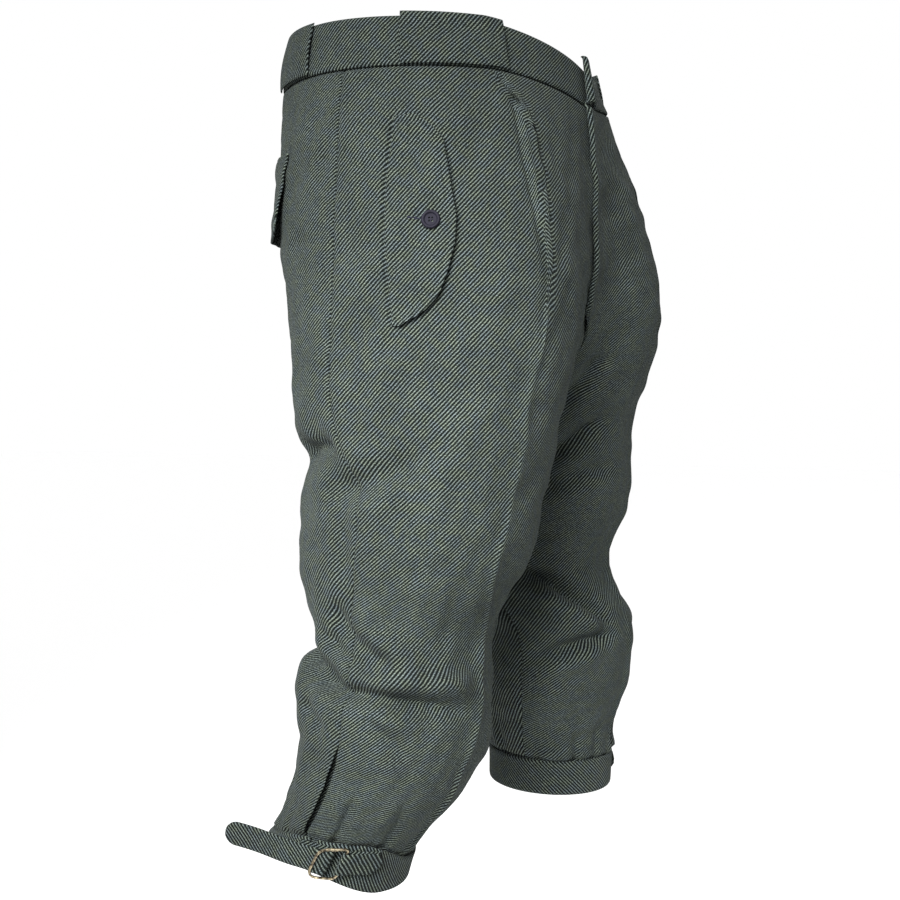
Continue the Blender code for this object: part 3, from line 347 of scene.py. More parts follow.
# Place of the pleat and pressed crease, and how far the side seam leans back, as (drop, across).
PLEAT_LINE = ((0.045, 0.226), (0.056, 0.240), (0.080, 0.261), (0.108, 0.268), (0.136, 0.266),
              (0.154, 0.262), (0.180, 0.258), (0.212, 0.254), (0.258, 0.254), (0.300, 0.252),
              (0.360, 0.250))
SEAM_LEAN = ((0.554, 0.0), (0.570, 0.001), (0.590, 0.014), (0.608, 0.025), (0.630, 0.031), (0.660, 0.027))
LINE_EASE = 0.006

# Small unevenness of cloth that has been worn
RIPPLE = 0.00045
RIPPLE_SEED = 7
RIPPLE_LENGTHS = (0.060, 0.043, 0.031, 0.023, 0.017)
RIPPLES_EACH = 3
RIPPLE_UNEVEN = (0.85, 1.15)

# Seams and turned edges
KNEE_DROP = 0.545
LOWER_LEAN = {RIGHT: 0.35, LEFT: -0.05}    # below the knee the cloth turns back with the leg
TUCK = 0.0032             # cloth that runs on under its neighbour at a seam
TUCK_DEEP = 0.0026
TUCK_SLOPE = (-0.0010, 0.0014)
SEAM_RUN = 0.0055         # fronts and backs run on this far behind the waistband and the cuffs
SEAM_DEEP = 0.0034
SINK_EASE = 0.0004
BAND_SINK = 0.0030
CUFF_SINK = 0.0034
FLY_STAND = 0.0024        # the fly's folded edge is thick and stands up
FLY_ROLL = 0.0026
FLY_ROLL_PLAIN = 0.0010
FLY_TAPER = 0.012
FLY_PULL = 0.012
FLY_SETTLE = (0.004, 0.040)
FLY_SLOPE = (0.010, 0.070)
FLY_FOLD = (-0.020, 0.035)
ROLL_POINTS = 8
ROLL_LEAST = 0.0002
EDGE_ROUND = 0.0012
EDGE_POINTS = tuple(share * EDGE_ROUND for share in (0.35, 1.1, 2.4))
EDGE_WIDE = 0.9           # a turned edge rounds over within this share of the thickness
EDGE_FALL = 0.55
EDGE_STEEP = 0.98
THIN_SHARE = 0.6          # the inner face rounds over less than the outer one
BAND_SHARE = 0.7

# The grids
CLOTH_STEP = 0.0030       # spacing of the points of a shell
TRIM_STEP = 0.0018
FLAP_STEP = 0.0009
FLAP_EASE_ROWS = 3        # the side flap's free edge is averaged over these rows each way
GRAIN_STEP = 0.01
LATTICE_STEP = 0.0020
LATTICE_DROPS = np.arange(0.0, 0.722, LATTICE_STEP)
LATTICE_ACROSS = np.linspace(0.0, 1.0, 261)
PLEAT_COLUMNS = CREASE + np.linspace(-PLEAT_HALF, PLEAT_HALF, 15) / CLOTH_GIRTH
HINGE_COLUMNS = np.linspace(FLAP_HINGE - 0.006, FLAP_HINGE + FLAP_BOW + 0.012, 20)

# The cloth, its ribs spaced as the photograph shows them at the garment's scale
RIB_SPACING = 2.35 * MM   # one diagonal rib of the twill
RIB_RELIEF = 0.28 * MM
RIB_ANGLE = math.radians(45)
YARN = 1.0 * MM           # one pale yarn
FLOAT_STEP = 1.20 * MM    # from one pale float to the next along a rib
WANDER_SCALE = 70.0       # ribs wander in waves of about 14 mm
HEATHER_SCALE = 26.0      # and the cloth is mottled in clouds of about 40 mm
TINT_SCALE = 120.0        # and tinted in patches of about 8 mm
WOOL_STOPS = ((0.0, "#080a09"), (0.38, "#161a19"), (0.70, "#3f4441"), (1.0, "#5c615e"))
WOOL_TINTS = ((0.38, "#dce6f2"), (0.62, "#eff4e2"))
WIRE_STOPS = ((0.38, "#4b4338"), (0.66, "#a99d82"))
CASEIN_STOPS = ((0.0, "#100f14"), (1.0, "#1a1921"))
THREAD_STOPS = ((0.0, "#0b0b10"), (1.0, "#1b1c26"))

# Camera, light and floor
CAMERA_AZIMUTH = math.radians(-62)
CAMERA_DISTANCE = 1.2
CAMERA_HEIGHT = -0.303
LENS = 52.8
SENSOR = 36.0
FRAME = 900
PRINCIPAL = (448, 400)    # pixel of the photograph that the camera points at
KEY_PLACE = (-1.22, -0.30, 0.12)
KEY_TARGET = (-0.10, -0.24, -0.46)
KEY_SIZE = 0.80
KEY_POWER = 16.5
KEY_SPREAD = math.radians(62)
FLOOR = -0.98
FLOOR_HALF = 12.0
STAGE_WHITE = "#ffffff"


# The form of the cut

def rows_at(side, drop):
    """Section values at each drop, on a smooth curve through the table's rows."""
    table = SECTIONS[side]
    knots = table[:, 0]
    rise = np.gradient(table, knots, axis=0)
    drop = np.clip(drop, knots[0], knots[-1])
    low = np.clip(np.searchsorted(knots, drop, side="right") - 1, 0, len(knots) - 2)
    span = knots[low + 1] - knots[low]
    t = ((drop - knots[low]) / span)[:, None]
    span = span[:, None]
    values = ((2 * t ** 3 - 3 * t ** 2 + 1) * table[low] + (t ** 3 - 2 * t ** 2 + t) * span * rise[low]
              + (3 * t ** 2 - 2 * t ** 3) * table[low + 1] + (t ** 3 - t ** 2) * span * rise[low + 1])
    row = {name: values[:, column:column + 1] for column, name in enumerate(COLUMNS)}
    closed = (drop >= FORK_DROP)[:, None]
    inseam = (row["fork_front"] + row["fork_back"]) / 2
    row["fork_front"] = np.where(closed, inseam, row["fork_front"])
    row["fork_back"] = np.where(closed, inseam, row["fork_back"])
    row["fork_x"] = np.maximum(row["fork_x"], 0.0)
    return row


def section_curve(row):
    """Each row's level section as four arcs: centre front, side, back, centre back."""
    angle = np.linspace(0.0, math.pi / 2, ARC_STEPS + 1)
    along_x = (1 - row["turn"]) * angle / (math.pi / 2) + row["turn"] * (1 - np.cos(angle))
    along_y = (1 - row["turn"]) * (1 - np.cos(2 * angle)) / 2 + row["turn"] * np.sin(angle)
    inner_x = row["fork_x"] + (row["front_x"] - row["fork_x"]) * along_x
    inner_y = row["fork_front"] + (row["front_y"] - row["fork_front"]) * along_y
    front_x = row["front_x"] + (row["side_x"] - row["front_x"]) * np.sin(angle)
    front_y = row["front_y"] + (row["side_y"] - row["front_y"]) * (1 - np.cos(angle))
    back_x = row["side_x"] + (row["back_x"] - row["side_x"]) * (1 - np.cos(angle))
    back_y = row["side_y"] + (row["back_y"] - row["side_y"]) * np.sin(angle)
    seat_x = (row["fork_x"] + (row["back_x"] - row["fork_x"]) * along_x)[:, ::-1]
    seat_y = (row["fork_back"] + (row["back_y"] - row["fork_back"]) * along_y)[:, ::-1]
    x = np.concatenate((inner_x, front_x[:, 1:], back_x[:, 1:], seat_x[:, 1:]), axis=1)
    y = np.concatenate((inner_y, front_y[:, 1:], back_y[:, 1:], seat_y[:, 1:]), axis=1)
    return x, y


def ramp(value, start, end):
    """0 before start, 1 after end, smooth between."""
    t = np.clip((value - start) / (end - start), 0.0, 1.0)
    return t * t * (3 - 2 * t)


def section_lengths(side, drop):
    """Length round each level section up to its points, and its length up to the front crease."""
    row = rows_at(side, drop)
    x, y = section_curve(row)
    steps = np.hypot(np.diff(x, axis=1), np.diff(y, axis=1))
    length = np.concatenate((np.zeros((len(x), 1)), np.cumsum(steps, axis=1)), axis=1)
    crease_at = ARC_STEPS * (1 + row["crease"][:, 0])
    low = crease_at.astype(int)
    part = crease_at - low
    order = np.arange(len(x))
    to_crease = length[order, low] * (1 - part) + length[order, low + 1] * part
    return row, x, y, length, to_crease


def lattice(side):
    """Plain form of one half on an even grid: its points, outward directions and lengths round it."""
    row, x, y, length, to_crease = section_lengths(side, LATTICE_DROPS)
    to_side, whole = length[:, 2 * ARC_STEPS], length[:, -1]
    points = np.empty((len(LATTICE_DROPS), len(LATTICE_ACROSS), 3))
    wanted = np.empty(points.shape[:2])
    middle = (row["front_y"] + row["back_y"])[:, 0] / 2
    for level in range(len(LATTICE_DROPS)):
        wanted[level] = np.interp(LATTICE_ACROSS, (0.0, CREASE, SIDE_SEAM, 1.0),
                                  (0.0, to_crease[level], to_side[level], whole[level]))
        px = np.interp(wanted[level], length[level], x[level])
        py = np.interp(wanted[level], length[level], y[level])
        dip = row["dip"][level, 0] * np.clip(1 - LATTICE_ACROSS / CREASE, 0, 1) ** DIP_EASE
        points[level, :, 0] = side * px
        points[level, :, 1] = py
        points[level, :, 2] = (WAIST_RISE - LATTICE_DROPS[level] - dip
                               + row["slope"][level, 0] * (py - middle[level]))
    normal = np.cross(np.gradient(points, axis=1), np.gradient(points, axis=0)) * -side
    normal /= np.linalg.norm(normal, axis=-1, keepdims=True)
    return {"points": points, "normal": normal, "round": wanted}


FORM = {side: lattice(side) for side in SIDES}


def read_lattice(side, what, across, drop):
    """Value of one lattice between its points."""
    grid = FORM[side][what]
    column = np.clip(across, 0, 1) * (len(LATTICE_ACROSS) - 1)
    level = np.clip(drop, 0, LATTICE_DROPS[-1]) / LATTICE_STEP
    left = np.minimum(column.astype(int), grid.shape[1] - 2)
    above = np.minimum(level.astype(int), grid.shape[0] - 2)
    part_across, part_down = column - left, level - above
    if grid.ndim == 3:
        part_across, part_down = part_across[..., None], part_down[..., None]
    upper = grid[above, left] * (1 - part_across) + grid[above, left + 1] * part_across
    lower = grid[above + 1, left] * (1 - part_across) + grid[above + 1, left + 1] * part_across
    return upper * (1 - part_down) + lower * part_down


def smooth_path(points, count=7):
    """Points on a smooth curve through the given ones."""
    knots = np.array(points, float)
    knots[:, 0] *= CLOTH_GIRTH
    padded = np.concatenate((2 * knots[:1] - knots[1:2], knots, 2 * knots[-1:] - knots[-2:-1]))
    path = []
    for start in range(len(knots) - 1):
        a, b, c, d = padded[start:start + 4]
        for t in np.linspace(0, 1, count, endpoint=False):
            path.append(0.5 * (2 * b + (c - a) * t + (2 * a - 5 * b + 4 * c - d) * t ** 2
                               + (3 * b - a - 3 * c + d) * t ** 3))
    path.append(knots[-1])
    return np.array(path)


def crease_height(across, drop, points, width, height, edge):
    """One crease: a trough or ridge along a curve, fading at both ends."""
    path = smooth_path(points)
    low, high = path.min(axis=0) - CREASE_REACH * width, path.max(axis=0) + CREASE_REACH * width
    spot = np.stack((across * CLOTH_GIRTH, drop), axis=-1)
    result = np.zeros(across.shape)
    near = ((spot > low) & (spot < high)).all(axis=-1)
    if not near.any():
        return result
    spot = spot[near]
    steps = np.linalg.norm(np.diff(path, axis=0), axis=1)
    travelled = np.concatenate(((0.0,), np.cumsum(steps)))
    closest = np.full(len(spot), np.inf)
    share = np.zeros(len(spot))
    for index, (start, end) in enumerate(zip(path, path[1:])):
        run = end - start
        t = np.clip((spot - start) @ run / (run @ run), 0, 1)
        distance = np.linalg.norm(spot - start - t[:, None] * run, axis=1)
        nearer = distance < closest
        closest = np.where(nearer, distance, closest)
        share = np.where(nearer, (travelled[index] + t * steps[index]) / travelled[-1], share)
    taper = ramp(share, *CREASE_RISES) * (1 - ramp(share, *CREASE_FADES))
    result[near] = height * taper * np.exp(-(closest / width) ** edge)
    return result


def ripple(side, across, drop):
    """Faint uneven waves, the same on every run."""
    draw = np.random.default_rng(RIPPLE_SEED + side)
    total = np.zeros(across.shape)
    for length in RIPPLE_LENGTHS:
        for turn in draw.uniform(0, math.pi, RIPPLES_EACH):
            phase = draw.uniform(0, 2 * math.pi)
            wave = 2 * math.pi / (length * draw.uniform(*RIPPLE_UNEVEN))
            run = across * CLOTH_GIRTH * math.cos(turn) + drop * math.sin(turn)
            total += length * np.sin(wave * run + phase)
    return RIPPLE * total / RIPPLE_LENGTHS[0]


def table_line(table, drop):
    """Value of a two-column table at each drop, with its corners eased."""
    drops, values = np.array(table).T
    return sum(np.interp(drop + step * LINE_EASE, drops, values) for step in (-1.5, -0.5, 0.5, 1.5)) / 4


def pleat_depth(drop):
    """1 where the front pleat is fully folded, 0 where it has opened out."""
    below_band = ramp(drop, BAND_FOOT - PLEAT_ABOVE, BAND_FOOT + PLEAT_BELOW)
    return np.clip((PLEAT_FOOT - drop) / PLEAT_FADE, 0, 1) * below_band


def fold_height(side, across, drop):
    """Sum of the creases, gathers, front pleat, pressed crease and ripples."""
    height = ripple(side, across, drop) * ramp(drop, BAND_FOOT, BAND_FOOT + 0.05)
    for points, width, rise, edge in CREASES[side]:
        height += CREASE_DEEP[edge] * crease_height(across, drop, points, width, rise, edge)
    for place, lean, length, width, rise in GATHERS[side]:
        line = ((place + lean, CUFF_TOP[side] - length), (place, CUFF_TOP[side] + GATHER_TUCK))
        height += crease_height(across, drop, line, width, rise, SOFT)
    beside = (across - table_line(PLEAT_LINE, drop)) * CLOTH_GIRTH
    lap = 0.5 - 0.5 * np.tanh(beside / PLEAT_EDGE)
    height += pleat_depth(drop) * (lap * PLEAT_RISE * np.exp(-(beside / PLEAT_SPREAD) ** 2)
                                   - (1 - lap) * PLEAT_SINK * np.exp(-(beside / PLEAT_SHADE) ** 2))
    pressed = ramp(drop, PLEAT_FOOT - PLEAT_FADE, PLEAT_FOOT)
    height += pressed * CREASE_RISE * np.exp(-(np.abs(beside) / CREASE_WIDTH) ** FIRM)
    return height


def on_cloth(side, across, drop, out=0.0, folded=True):
    """Point of the cloth moved out; past the inner edges it goes on round the leg or the body."""
    across, drop = np.broadcast_arrays(np.asarray(across, float), np.asarray(drop, float))
    leg = drop >= FORK_DROP
    across = np.where(leg & (across < 0), across + 1, np.where(leg & (across > 1), across - 1, across))
    beyond = (across < 0) | (across > 1)
    across = np.where(across < 0, -across, np.where(across > 1, 2 - across, across))
    height = np.asarray(out, float) + (fold_height(side, across, drop) if folded else 0.0)
    place = (read_lattice(side, "points", across, drop)
             + read_lattice(side, "normal", across, drop) * np.asarray(height)[..., None])
    place[..., 0] = np.where(beyond, -place[..., 0], place[..., 0])
    return place


def girth(side, drop):
    """Length of the half's section from the centre front or inseam round to the back."""
    return float(read_lattice(side, "round", np.array(1.0), np.array(float(drop))))


# Building shells

def spread(start, end, step):
    """Even positions in metres with three more close to each end, where a turned edge rounds over."""
    count = max(3, round((end - start) / step))
    first, second, third = EDGE_POINTS
    inner = np.linspace(start + third, end - third, count)
    return np.concatenate(((start, start + first, start + second), inner, (end - second, end - first, end)))


def turned_edge(distance, thickness):
    """How far the outer face falls back at a distance from a turned edge."""
    reach = np.clip(1 - distance / (EDGE_WIDE * thickness), 0, 1)
    return thickness * EDGE_FALL * (1 - np.sqrt(1 - reach ** 2 * EDGE_STEEP))


def shell(name, outer, inner, cut, finish):
    """Closed thin shell between two grids. `cut` is each point's place on the flat cloth in metres."""
    rows, columns = outer.shape[:2]
    index = np.arange(rows * columns).reshape(rows, columns)
    under = index + rows * columns
    quads = []
    for corners in ((index[:-1, :-1], index[:-1, 1:], index[1:, 1:], index[1:, :-1]),
                    (under[1:, :-1], under[1:, 1:], under[:-1, 1:], under[:-1, :-1])):
        quads.append(np.stack(corners, axis=-1).reshape(-1, 4))
    rim = np.concatenate((index[0, ::-1], index[1:, 0], index[-1, 1:], index[-2:0:-1, -1]))
    rim_under = rim + rows * columns
    quads.append(np.stack((rim, np.roll(rim, -1), np.roll(rim_under, -1), rim_under), axis=-1))
    quads = np.concatenate(quads)
    points = np.concatenate((outer.reshape(-1, 3), inner.reshape(-1, 3)))
    middle = quads[len(quads) // 4]
    a, b, d = points[middle[0]], points[middle[1]], points[middle[3]]
    if np.cross(b - a, d - a) @ (outer - inner).reshape(-1, 3)[middle[0]] < 0:
        quads = quads[:, ::-1]
    mesh = bpy.data.meshes.new(name)
    mesh.from_pydata(points.tolist(), [], quads.tolist())
    flat = np.concatenate((cut.reshape(-1, 2), cut.reshape(-1, 2)))
    mesh.uv_layers.new(name="cut").data.foreach_set("uv", flat[quads.ravel()].ravel())
    mesh.materials.append(finish)
    mesh.shade_smooth()
    piece = bpy.data.objects.new(f"{name}_cloth", mesh)
    bpy.context.scene.collection.objects.link(piece)
    return piece


def dress(piece, node):
    """Ride on the body in place of a node, and hide the node's part."""
    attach(piece, "root")
    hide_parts(node)


def sew(kind, side, faces, cut, finish):
    """Make one piece of the wool and put it on."""
    name = f"{kind}_{SIDE_NAME[side]}"
    outer, inner = faces
    piece = shell(name, outer, inner, cut, finish)
    dress(piece, name)
    return piece


def grain(side, across, drop, line):
    """Place on the flat cloth in metres, its level lines parallel, measured from one line down it."""
    centre = np.full(len(LATTICE_DROPS), line)
    down = read_lattice(side, "points", centre, LATTICE_DROPS)
    beside = (read_lattice(side, "points", centre + GRAIN_STEP, LATTICE_DROPS)
              - read_lattice(side, "points", centre - GRAIN_STEP, LATTICE_DROPS))
    beside /= np.linalg.norm(beside, axis=1, keepdims=True)
    step = np.diff(down, axis=0)
    length = np.linalg.norm(step, axis=1)
    aside = (step * beside[:-1]).sum(axis=1)
    aside_total = np.concatenate(((0.0,), np.cumsum(aside)))
    down_total = np.concatenate(((0.0,), np.cumsum(np.sqrt(np.maximum(length ** 2 - aside ** 2, 0)))))
    lean = LOWER_LEAN[side] * np.maximum(drop - KNEE_DROP, 0.0)
    wide = read_lattice(side, "round", np.clip(across, 0, 1), drop) + np.minimum(across, 0) * LAP_SCALE
    wide = wide + np.maximum(across - 1, 0) * LAP_SCALE
    wide = wide - read_lattice(side, "round", np.full_like(drop, line), drop)
    u = side * (wide + np.interp(drop, LATTICE_DROPS, aside_total)) + lean
    dips = rows_at(side, LATTICE_DROPS)["dip"][:, 0]
    dip = np.interp(drop, LATTICE_DROPS, dips) * np.clip(1 - abs(across) / CREASE, 0, 1) ** DIP_EASE
    return np.stack((u, -np.interp(drop, LATTICE_DROPS, down_total) - dip), axis=-1)


def cross_grain(cut):
    """The same places on cloth laid across its length."""
    turn = math.radians(90)
    u, v = cut[..., 0], cut[..., 1]
    return np.stack((u * math.cos(turn) + v * math.sin(turn), v * math.cos(turn) - u * math.sin(turn)),
                    axis=-1)


def edge_fall(across_metres, down_metres, thickness, sides="lrtb"):
    """Fall of the outer face at the named edges of a grid laid out in metres."""
    fall = np.zeros(np.broadcast(across_metres, down_metres).shape)
    distance = {"l": across_metres - across_metres.min(axis=1, keepdims=True),
                "r": across_metres.max(axis=1, keepdims=True) - across_metres,
                "t": down_metres - down_metres.min(axis=0, keepdims=True),
                "b": down_metres.max(axis=0, keepdims=True) - down_metres}
    for name in sides:
        fall = np.maximum(fall, turned_edge(distance[name], thickness))
    return fall


def rounded(outer, inner, away, fall, share):
    """Both faces drawn together along the edges, the outer one most."""
    fall = fall[..., None]
    return outer - away * fall, inner + away * fall * share


def cloth_faces(side, across, drop, out=0.0, thickness=WALL, folded=True, edges="lrtb"):
    """Outer and inner grid of a piece on the cloth's own points, with rounded edges."""
    out = np.broadcast_to(np.asarray(out, float), across.shape)
    outer = on_cloth(side, across, drop, out, folded)
    inner = on_cloth(side, across, drop, out - thickness, folded)
    away = outer - inner
    away /= np.linalg.norm(away, axis=-1, keepdims=True)
    fall = edge_fall(across * CLOTH_GIRTH, drop, thickness, edges)
    outer, inner = rounded(outer, inner, away, fall, THIN_SHARE)
    own_side = (across > 0) & (across < 1)
    for face in (outer, inner):
        clear = np.maximum(face[..., 0] * side, SEAM / 2) * side
        face[..., 0] = np.where(own_side, clear, face[..., 0])
    return outer, inner


def band_faces(side, across, drop, out, wall, fall, share):
    """Outer and inner grid of a band or loop on the plain form."""
    outer = on_cloth(side, across, drop, out, folded=False)
    inner = on_cloth(side, across, drop, out - wall, folded=False)
    return rounded(outer, inner, (outer - inner) / wall, fall, share)


def roll_edge(side, faces, cut, across, drop, out, radius, bulge, wall):
    """Add the columns of a thick turned edge, from underneath round to the first column at `out`."""
    turn = np.linspace(0.0, math.pi, ROLL_POINTS + 1)[:-1]
    centre = (out - radius)[:, None]
    joined = []
    for face, size in zip(faces, (radius, np.maximum(radius - wall, ROLL_LEAST))):
        place = across[:, None] - size[:, None] * np.sin(turn) * bulge[:, None] / LAP_SCALE
        level = np.broadcast_to(drop[:, None], place.shape)
        rolled = on_cloth(side, place, level, centre - size[:, None] * np.cos(turn), folded=False)
        joined.append(np.concatenate((rolled, face), axis=1))
    back = -radius[:, None] * (math.pi - turn)
    edge_cut = np.stack((cut[:, :1, 0] + back, np.broadcast_to(cut[:, :1, 1], back.shape)), axis=-1)
    return joined, np.concatenate((edge_cut, cut), axis=1)


def beside_vent(across):
    """1 next to the vent, 0 away from it."""
    return ramp(across, *VENT_AHEAD) * (1 - ramp(across, *VENT_BEHIND))


def hem(side, across, drop):
    """The right leg blouses over its cuff except beside the vent, so its last rows hang lower."""
    if side == LEFT:
        return drop
    return drop + BLOUSE * ramp(drop, BLOUSE_TOP, CUFF_TOP[RIGHT]) * (1 - beside_vent(across))


def vent_opening(side, drop):
    """0 above and below the slit, 1 at its widest."""
    share = np.clip((drop - CUFF_TOP[side] + VENT_LENGTH) / VENT_LENGTH, 0, 1)
    return np.sin(math.pi * share ** VENT_LOW) ** VENT_ROUND


def tucked(across, drop):
    """Positions folded back under themselves along the pleat."""
    beside = np.clip((across - CREASE) * CLOTH_GIRTH, -PLEAT_HALF, PLEAT_HALF)
    return across - PLEAT_TUCK * pleat_depth(drop) * np.sin(math.pi * beside / PLEAT_HALF) / CLOTH_GIRTH


def seam_tuck(drop, foot):
    """How far the cloth sinks at its top and foot to run on behind the waistband and the cuff."""
    at_band = 1 - ramp(drop, BAND_FOOT - SINK_EASE, BAND_FOOT + BAND_SINK)
    return SEAM_DEEP * (at_band + ramp(drop, foot - CUFF_SINK, foot + SINK_EASE / 2))


def beyond_seam(metres):
    """How far the cloth sinks where it runs on under its neighbour past a seam."""
    return TUCK_DEEP * ramp(metres, *TUCK_SLOPE)


def front_panel(side, finish):
    """Front from the centre to the side seam. The left one laps over the right along the fly."""
    foot = CUFF_TOP[side]
    inner_end = 0.0 if side == LEFT else SEAM
    columns = spread(inner_end, (SIDE_SEAM * CLOTH_GIRTH) + TUCK, CLOTH_STEP) / CLOTH_GIRTH
    for close in (PLEAT_COLUMNS, HINGE_COLUMNS):
        columns = np.concatenate((columns[columns < close[0]], close, columns[columns > close[-1]]))
    across, drop = np.meshgrid(columns, spread(BAND_FOOT - SEAM_RUN, foot + SEAM_RUN, CLOTH_STEP))
    at_vent = ramp(drop, foot - VENT_LENGTH - VENT_TAPER, foot - VENT_LENGTH)
    past = np.maximum(across - SIDE_SEAM, 0) * CLOTH_GIRTH
    across = np.where(across > SIDE_SEAM, SIDE_SEAM + past * (1 - at_vent) / CLOTH_GIRTH, across)
    across = across - ramp(across, SIDE_SEAM - SLIT_REACH, SIDE_SEAM) * SEAM / CLOTH_GIRTH * at_vent
    near_slit = np.exp(-np.maximum(SIDE_SEAM - across, 0) * CLOTH_GIRTH / VENT_EASE)
    opening = vent_opening(side, drop)
    out = -VENT_PUSH * opening * near_slit - seam_tuck(drop, foot)
    out = out - beyond_seam((across - SIDE_SEAM) * CLOTH_GIRTH) * (1 - at_vent)
    across = (across - VENT_GAP / CLOTH_GIRTH * opening * near_slit
              + table_line(SEAM_LEAN, drop) * ramp(across, SIDE_SEAM - LEAN_REACH, SIDE_SEAM)
              + (table_line(PLEAT_LINE, drop) - CREASE) * ramp(across, 0.0, CREASE - PLEAT_CLEAR)
              * (1 - ramp(across, CREASE + PLEAT_CLEAR, SIDE_SEAM)))
    lapped = (1 - ramp(drop, FLY_DROP - FLY_TAPER, FLY_DROP))
    if side == LEFT:
        reach = np.clip(1 - across * CLOTH_GIRTH / FLY_PULL, 0, 1) ** 2
        across = across - reach * lapped * FLY_LAP / LAP_SCALE
        settle_from, settle_to = FLY_SETTLE
        raised = 1 - ramp(drop, FLY_DROP + settle_from, FLY_DROP + settle_to)
        out = out + raised * (WALL + 3 * SEAM) * (1 - ramp(across, *FLY_SLOPE))
        out = out + lapped * FLY_STAND * (1 - ramp(across, *FLY_FOLD))
    hung = hem(side, across, drop)
    share = (drop - FLAP_TOP) / (FLAP_FOOT - FLAP_TOP)
    from_hinge = (across - hinge_at(share)) * CLOTH_GIRTH - HINGE_HALF
    held = ramp(share, *HINGE_STARTS) * (1 - ramp(share, *HINGE_ENDS))
    furrow = HINGE_SINK * held * np.exp(-(from_hinge / HINGE_HALF) ** 2)
    height = out + fold_height(side, across, hung) - furrow
    faces = cloth_faces(side, tucked(across, drop), hung, height, folded=False,
                        edges="rtb" if side == LEFT else "lrtb")
    cut = grain(side, across, drop, CREASE)
    cut[..., 0] += side * pleat_extra(faces[0], across, drop)
    if side == LEFT:
        radius = FLY_ROLL_PLAIN + (FLY_ROLL - FLY_ROLL_PLAIN) * lapped[:, 0]
        faces, cut = roll_edge(side, faces, cut, across[:, 0], hung[:, 0], height[:, 0], radius,
                               lapped[:, 0], WALL)
    sew("front", side, faces, cut, finish)


def pleat_extra(outer, across, drop):
    """Cloth taken up in the pleat's fold beyond the plain width, counted from the side seam."""
    inside = abs(across - table_line(PLEAT_LINE, drop)) * CLOTH_GIRTH < EXTRA_REACH * PLEAT_HALF
    steps = np.linalg.norm(np.diff(outer, axis=1), axis=-1) - np.diff(across, axis=1) * CLOTH_GIRTH
    steps = np.where(inside[:, 1:] & inside[:, :-1], steps, 0.0)
    total = np.concatenate((np.zeros((len(steps), 1)), np.cumsum(steps, axis=1)), axis=1)
    total -= total[:, -1:]
    padded = np.pad(total, ((EXTRA_ROWS, EXTRA_ROWS), (0, 0)), mode="edge")
    window = 2 * EXTRA_ROWS + 1
    return sum(padded[start:start + len(total)] for start in range(window)) / window


def back_panel(side, finish):
    """Back from the side seam to the centre seam. Its stitched edge stands over the vent."""
    foot = CUFF_TOP[side]
    start = (SIDE_SEAM * CLOTH_GIRTH) + SEAM
    columns = spread(start + STITCHED, CLOTH_GIRTH + TUCK, CLOTH_STEP)[3:]
    columns = np.concatenate((start + np.array(STITCHED_COLUMNS), columns)) / CLOTH_GIRTH
    across, drop = np.meshgrid(columns, spread(BAND_FOOT - SEAM_RUN, foot + SEAM_RUN, CLOTH_STEP))
    from_edge = (across - SIDE_SEAM) * CLOTH_GIRTH
    near_slit = np.exp(-from_edge / VENT_EASE)
    opening = vent_opening(side, drop)
    out = VENT_LIFT * opening ** VENT_LIFT_ROUND * near_slit - seam_tuck(drop, foot)
    out = out - beyond_seam((across - 1) * CLOTH_GIRTH)
    stitch_from, stitch_to = VENT_STITCHING
    stitched = ramp(drop, foot - VENT_LENGTH + stitch_from, foot - VENT_LENGTH + stitch_to)
    out = out - STITCH_SINK * stitched * np.exp(-((from_edge - VENT_STITCH_AT) / STITCH_HALF) ** 2)
    shut = SHUT_SINK * np.exp(-from_edge / SHUT_REACH) * (1 - ramp(opening, 0.0, 0.5))
    across = (across - VENT_SHIFT / CLOTH_GIRTH * ramp(opening, *VENT_SHIFTS) * near_slit
              + table_line(SEAM_LEAN, drop) * (1 - ramp(across, SIDE_SEAM, SIDE_SEAM + LEAN_REACH)))
    if side == LEFT:
        across = np.where(drop < FORK_DROP, np.minimum(across, 1 - SEAM), across)
    faces = cloth_faces(side, across, hem(side, across, drop), out - shut)
    sew("back", side, faces, grain(side, across, drop, BACK_GRAIN), finish)


def vent_underlap(side, finish):
    """Strip that carries the front on behind the open vent."""
    top = CUFF_TOP[side] - VENT_LENGTH + UNDERLAP_DROP
    across, drop = np.meshgrid(spread(*UNDERLAP, TRIM_STEP) / CLOTH_GIRTH,
                               spread(top, CUFF_TOP[side] + SEAM_RUN, TRIM_STEP))
    across = across + table_line(SEAM_LEAN, drop)
    out = -(WALL + 4 * SEAM) - (VENT_PUSH + 2 * SEAM) * vent_opening(side, drop)
    out = out - SEAM_DEEP * ramp(drop, CUFF_TOP[side] - UNDERLAP_SINK, CUFF_TOP[side])
    faces = cloth_faces(side, across, drop, out, UNDERLAP_WALL)
    sew("vent", side, faces, grain(side, across, drop, SIDE_SEAM), finish)


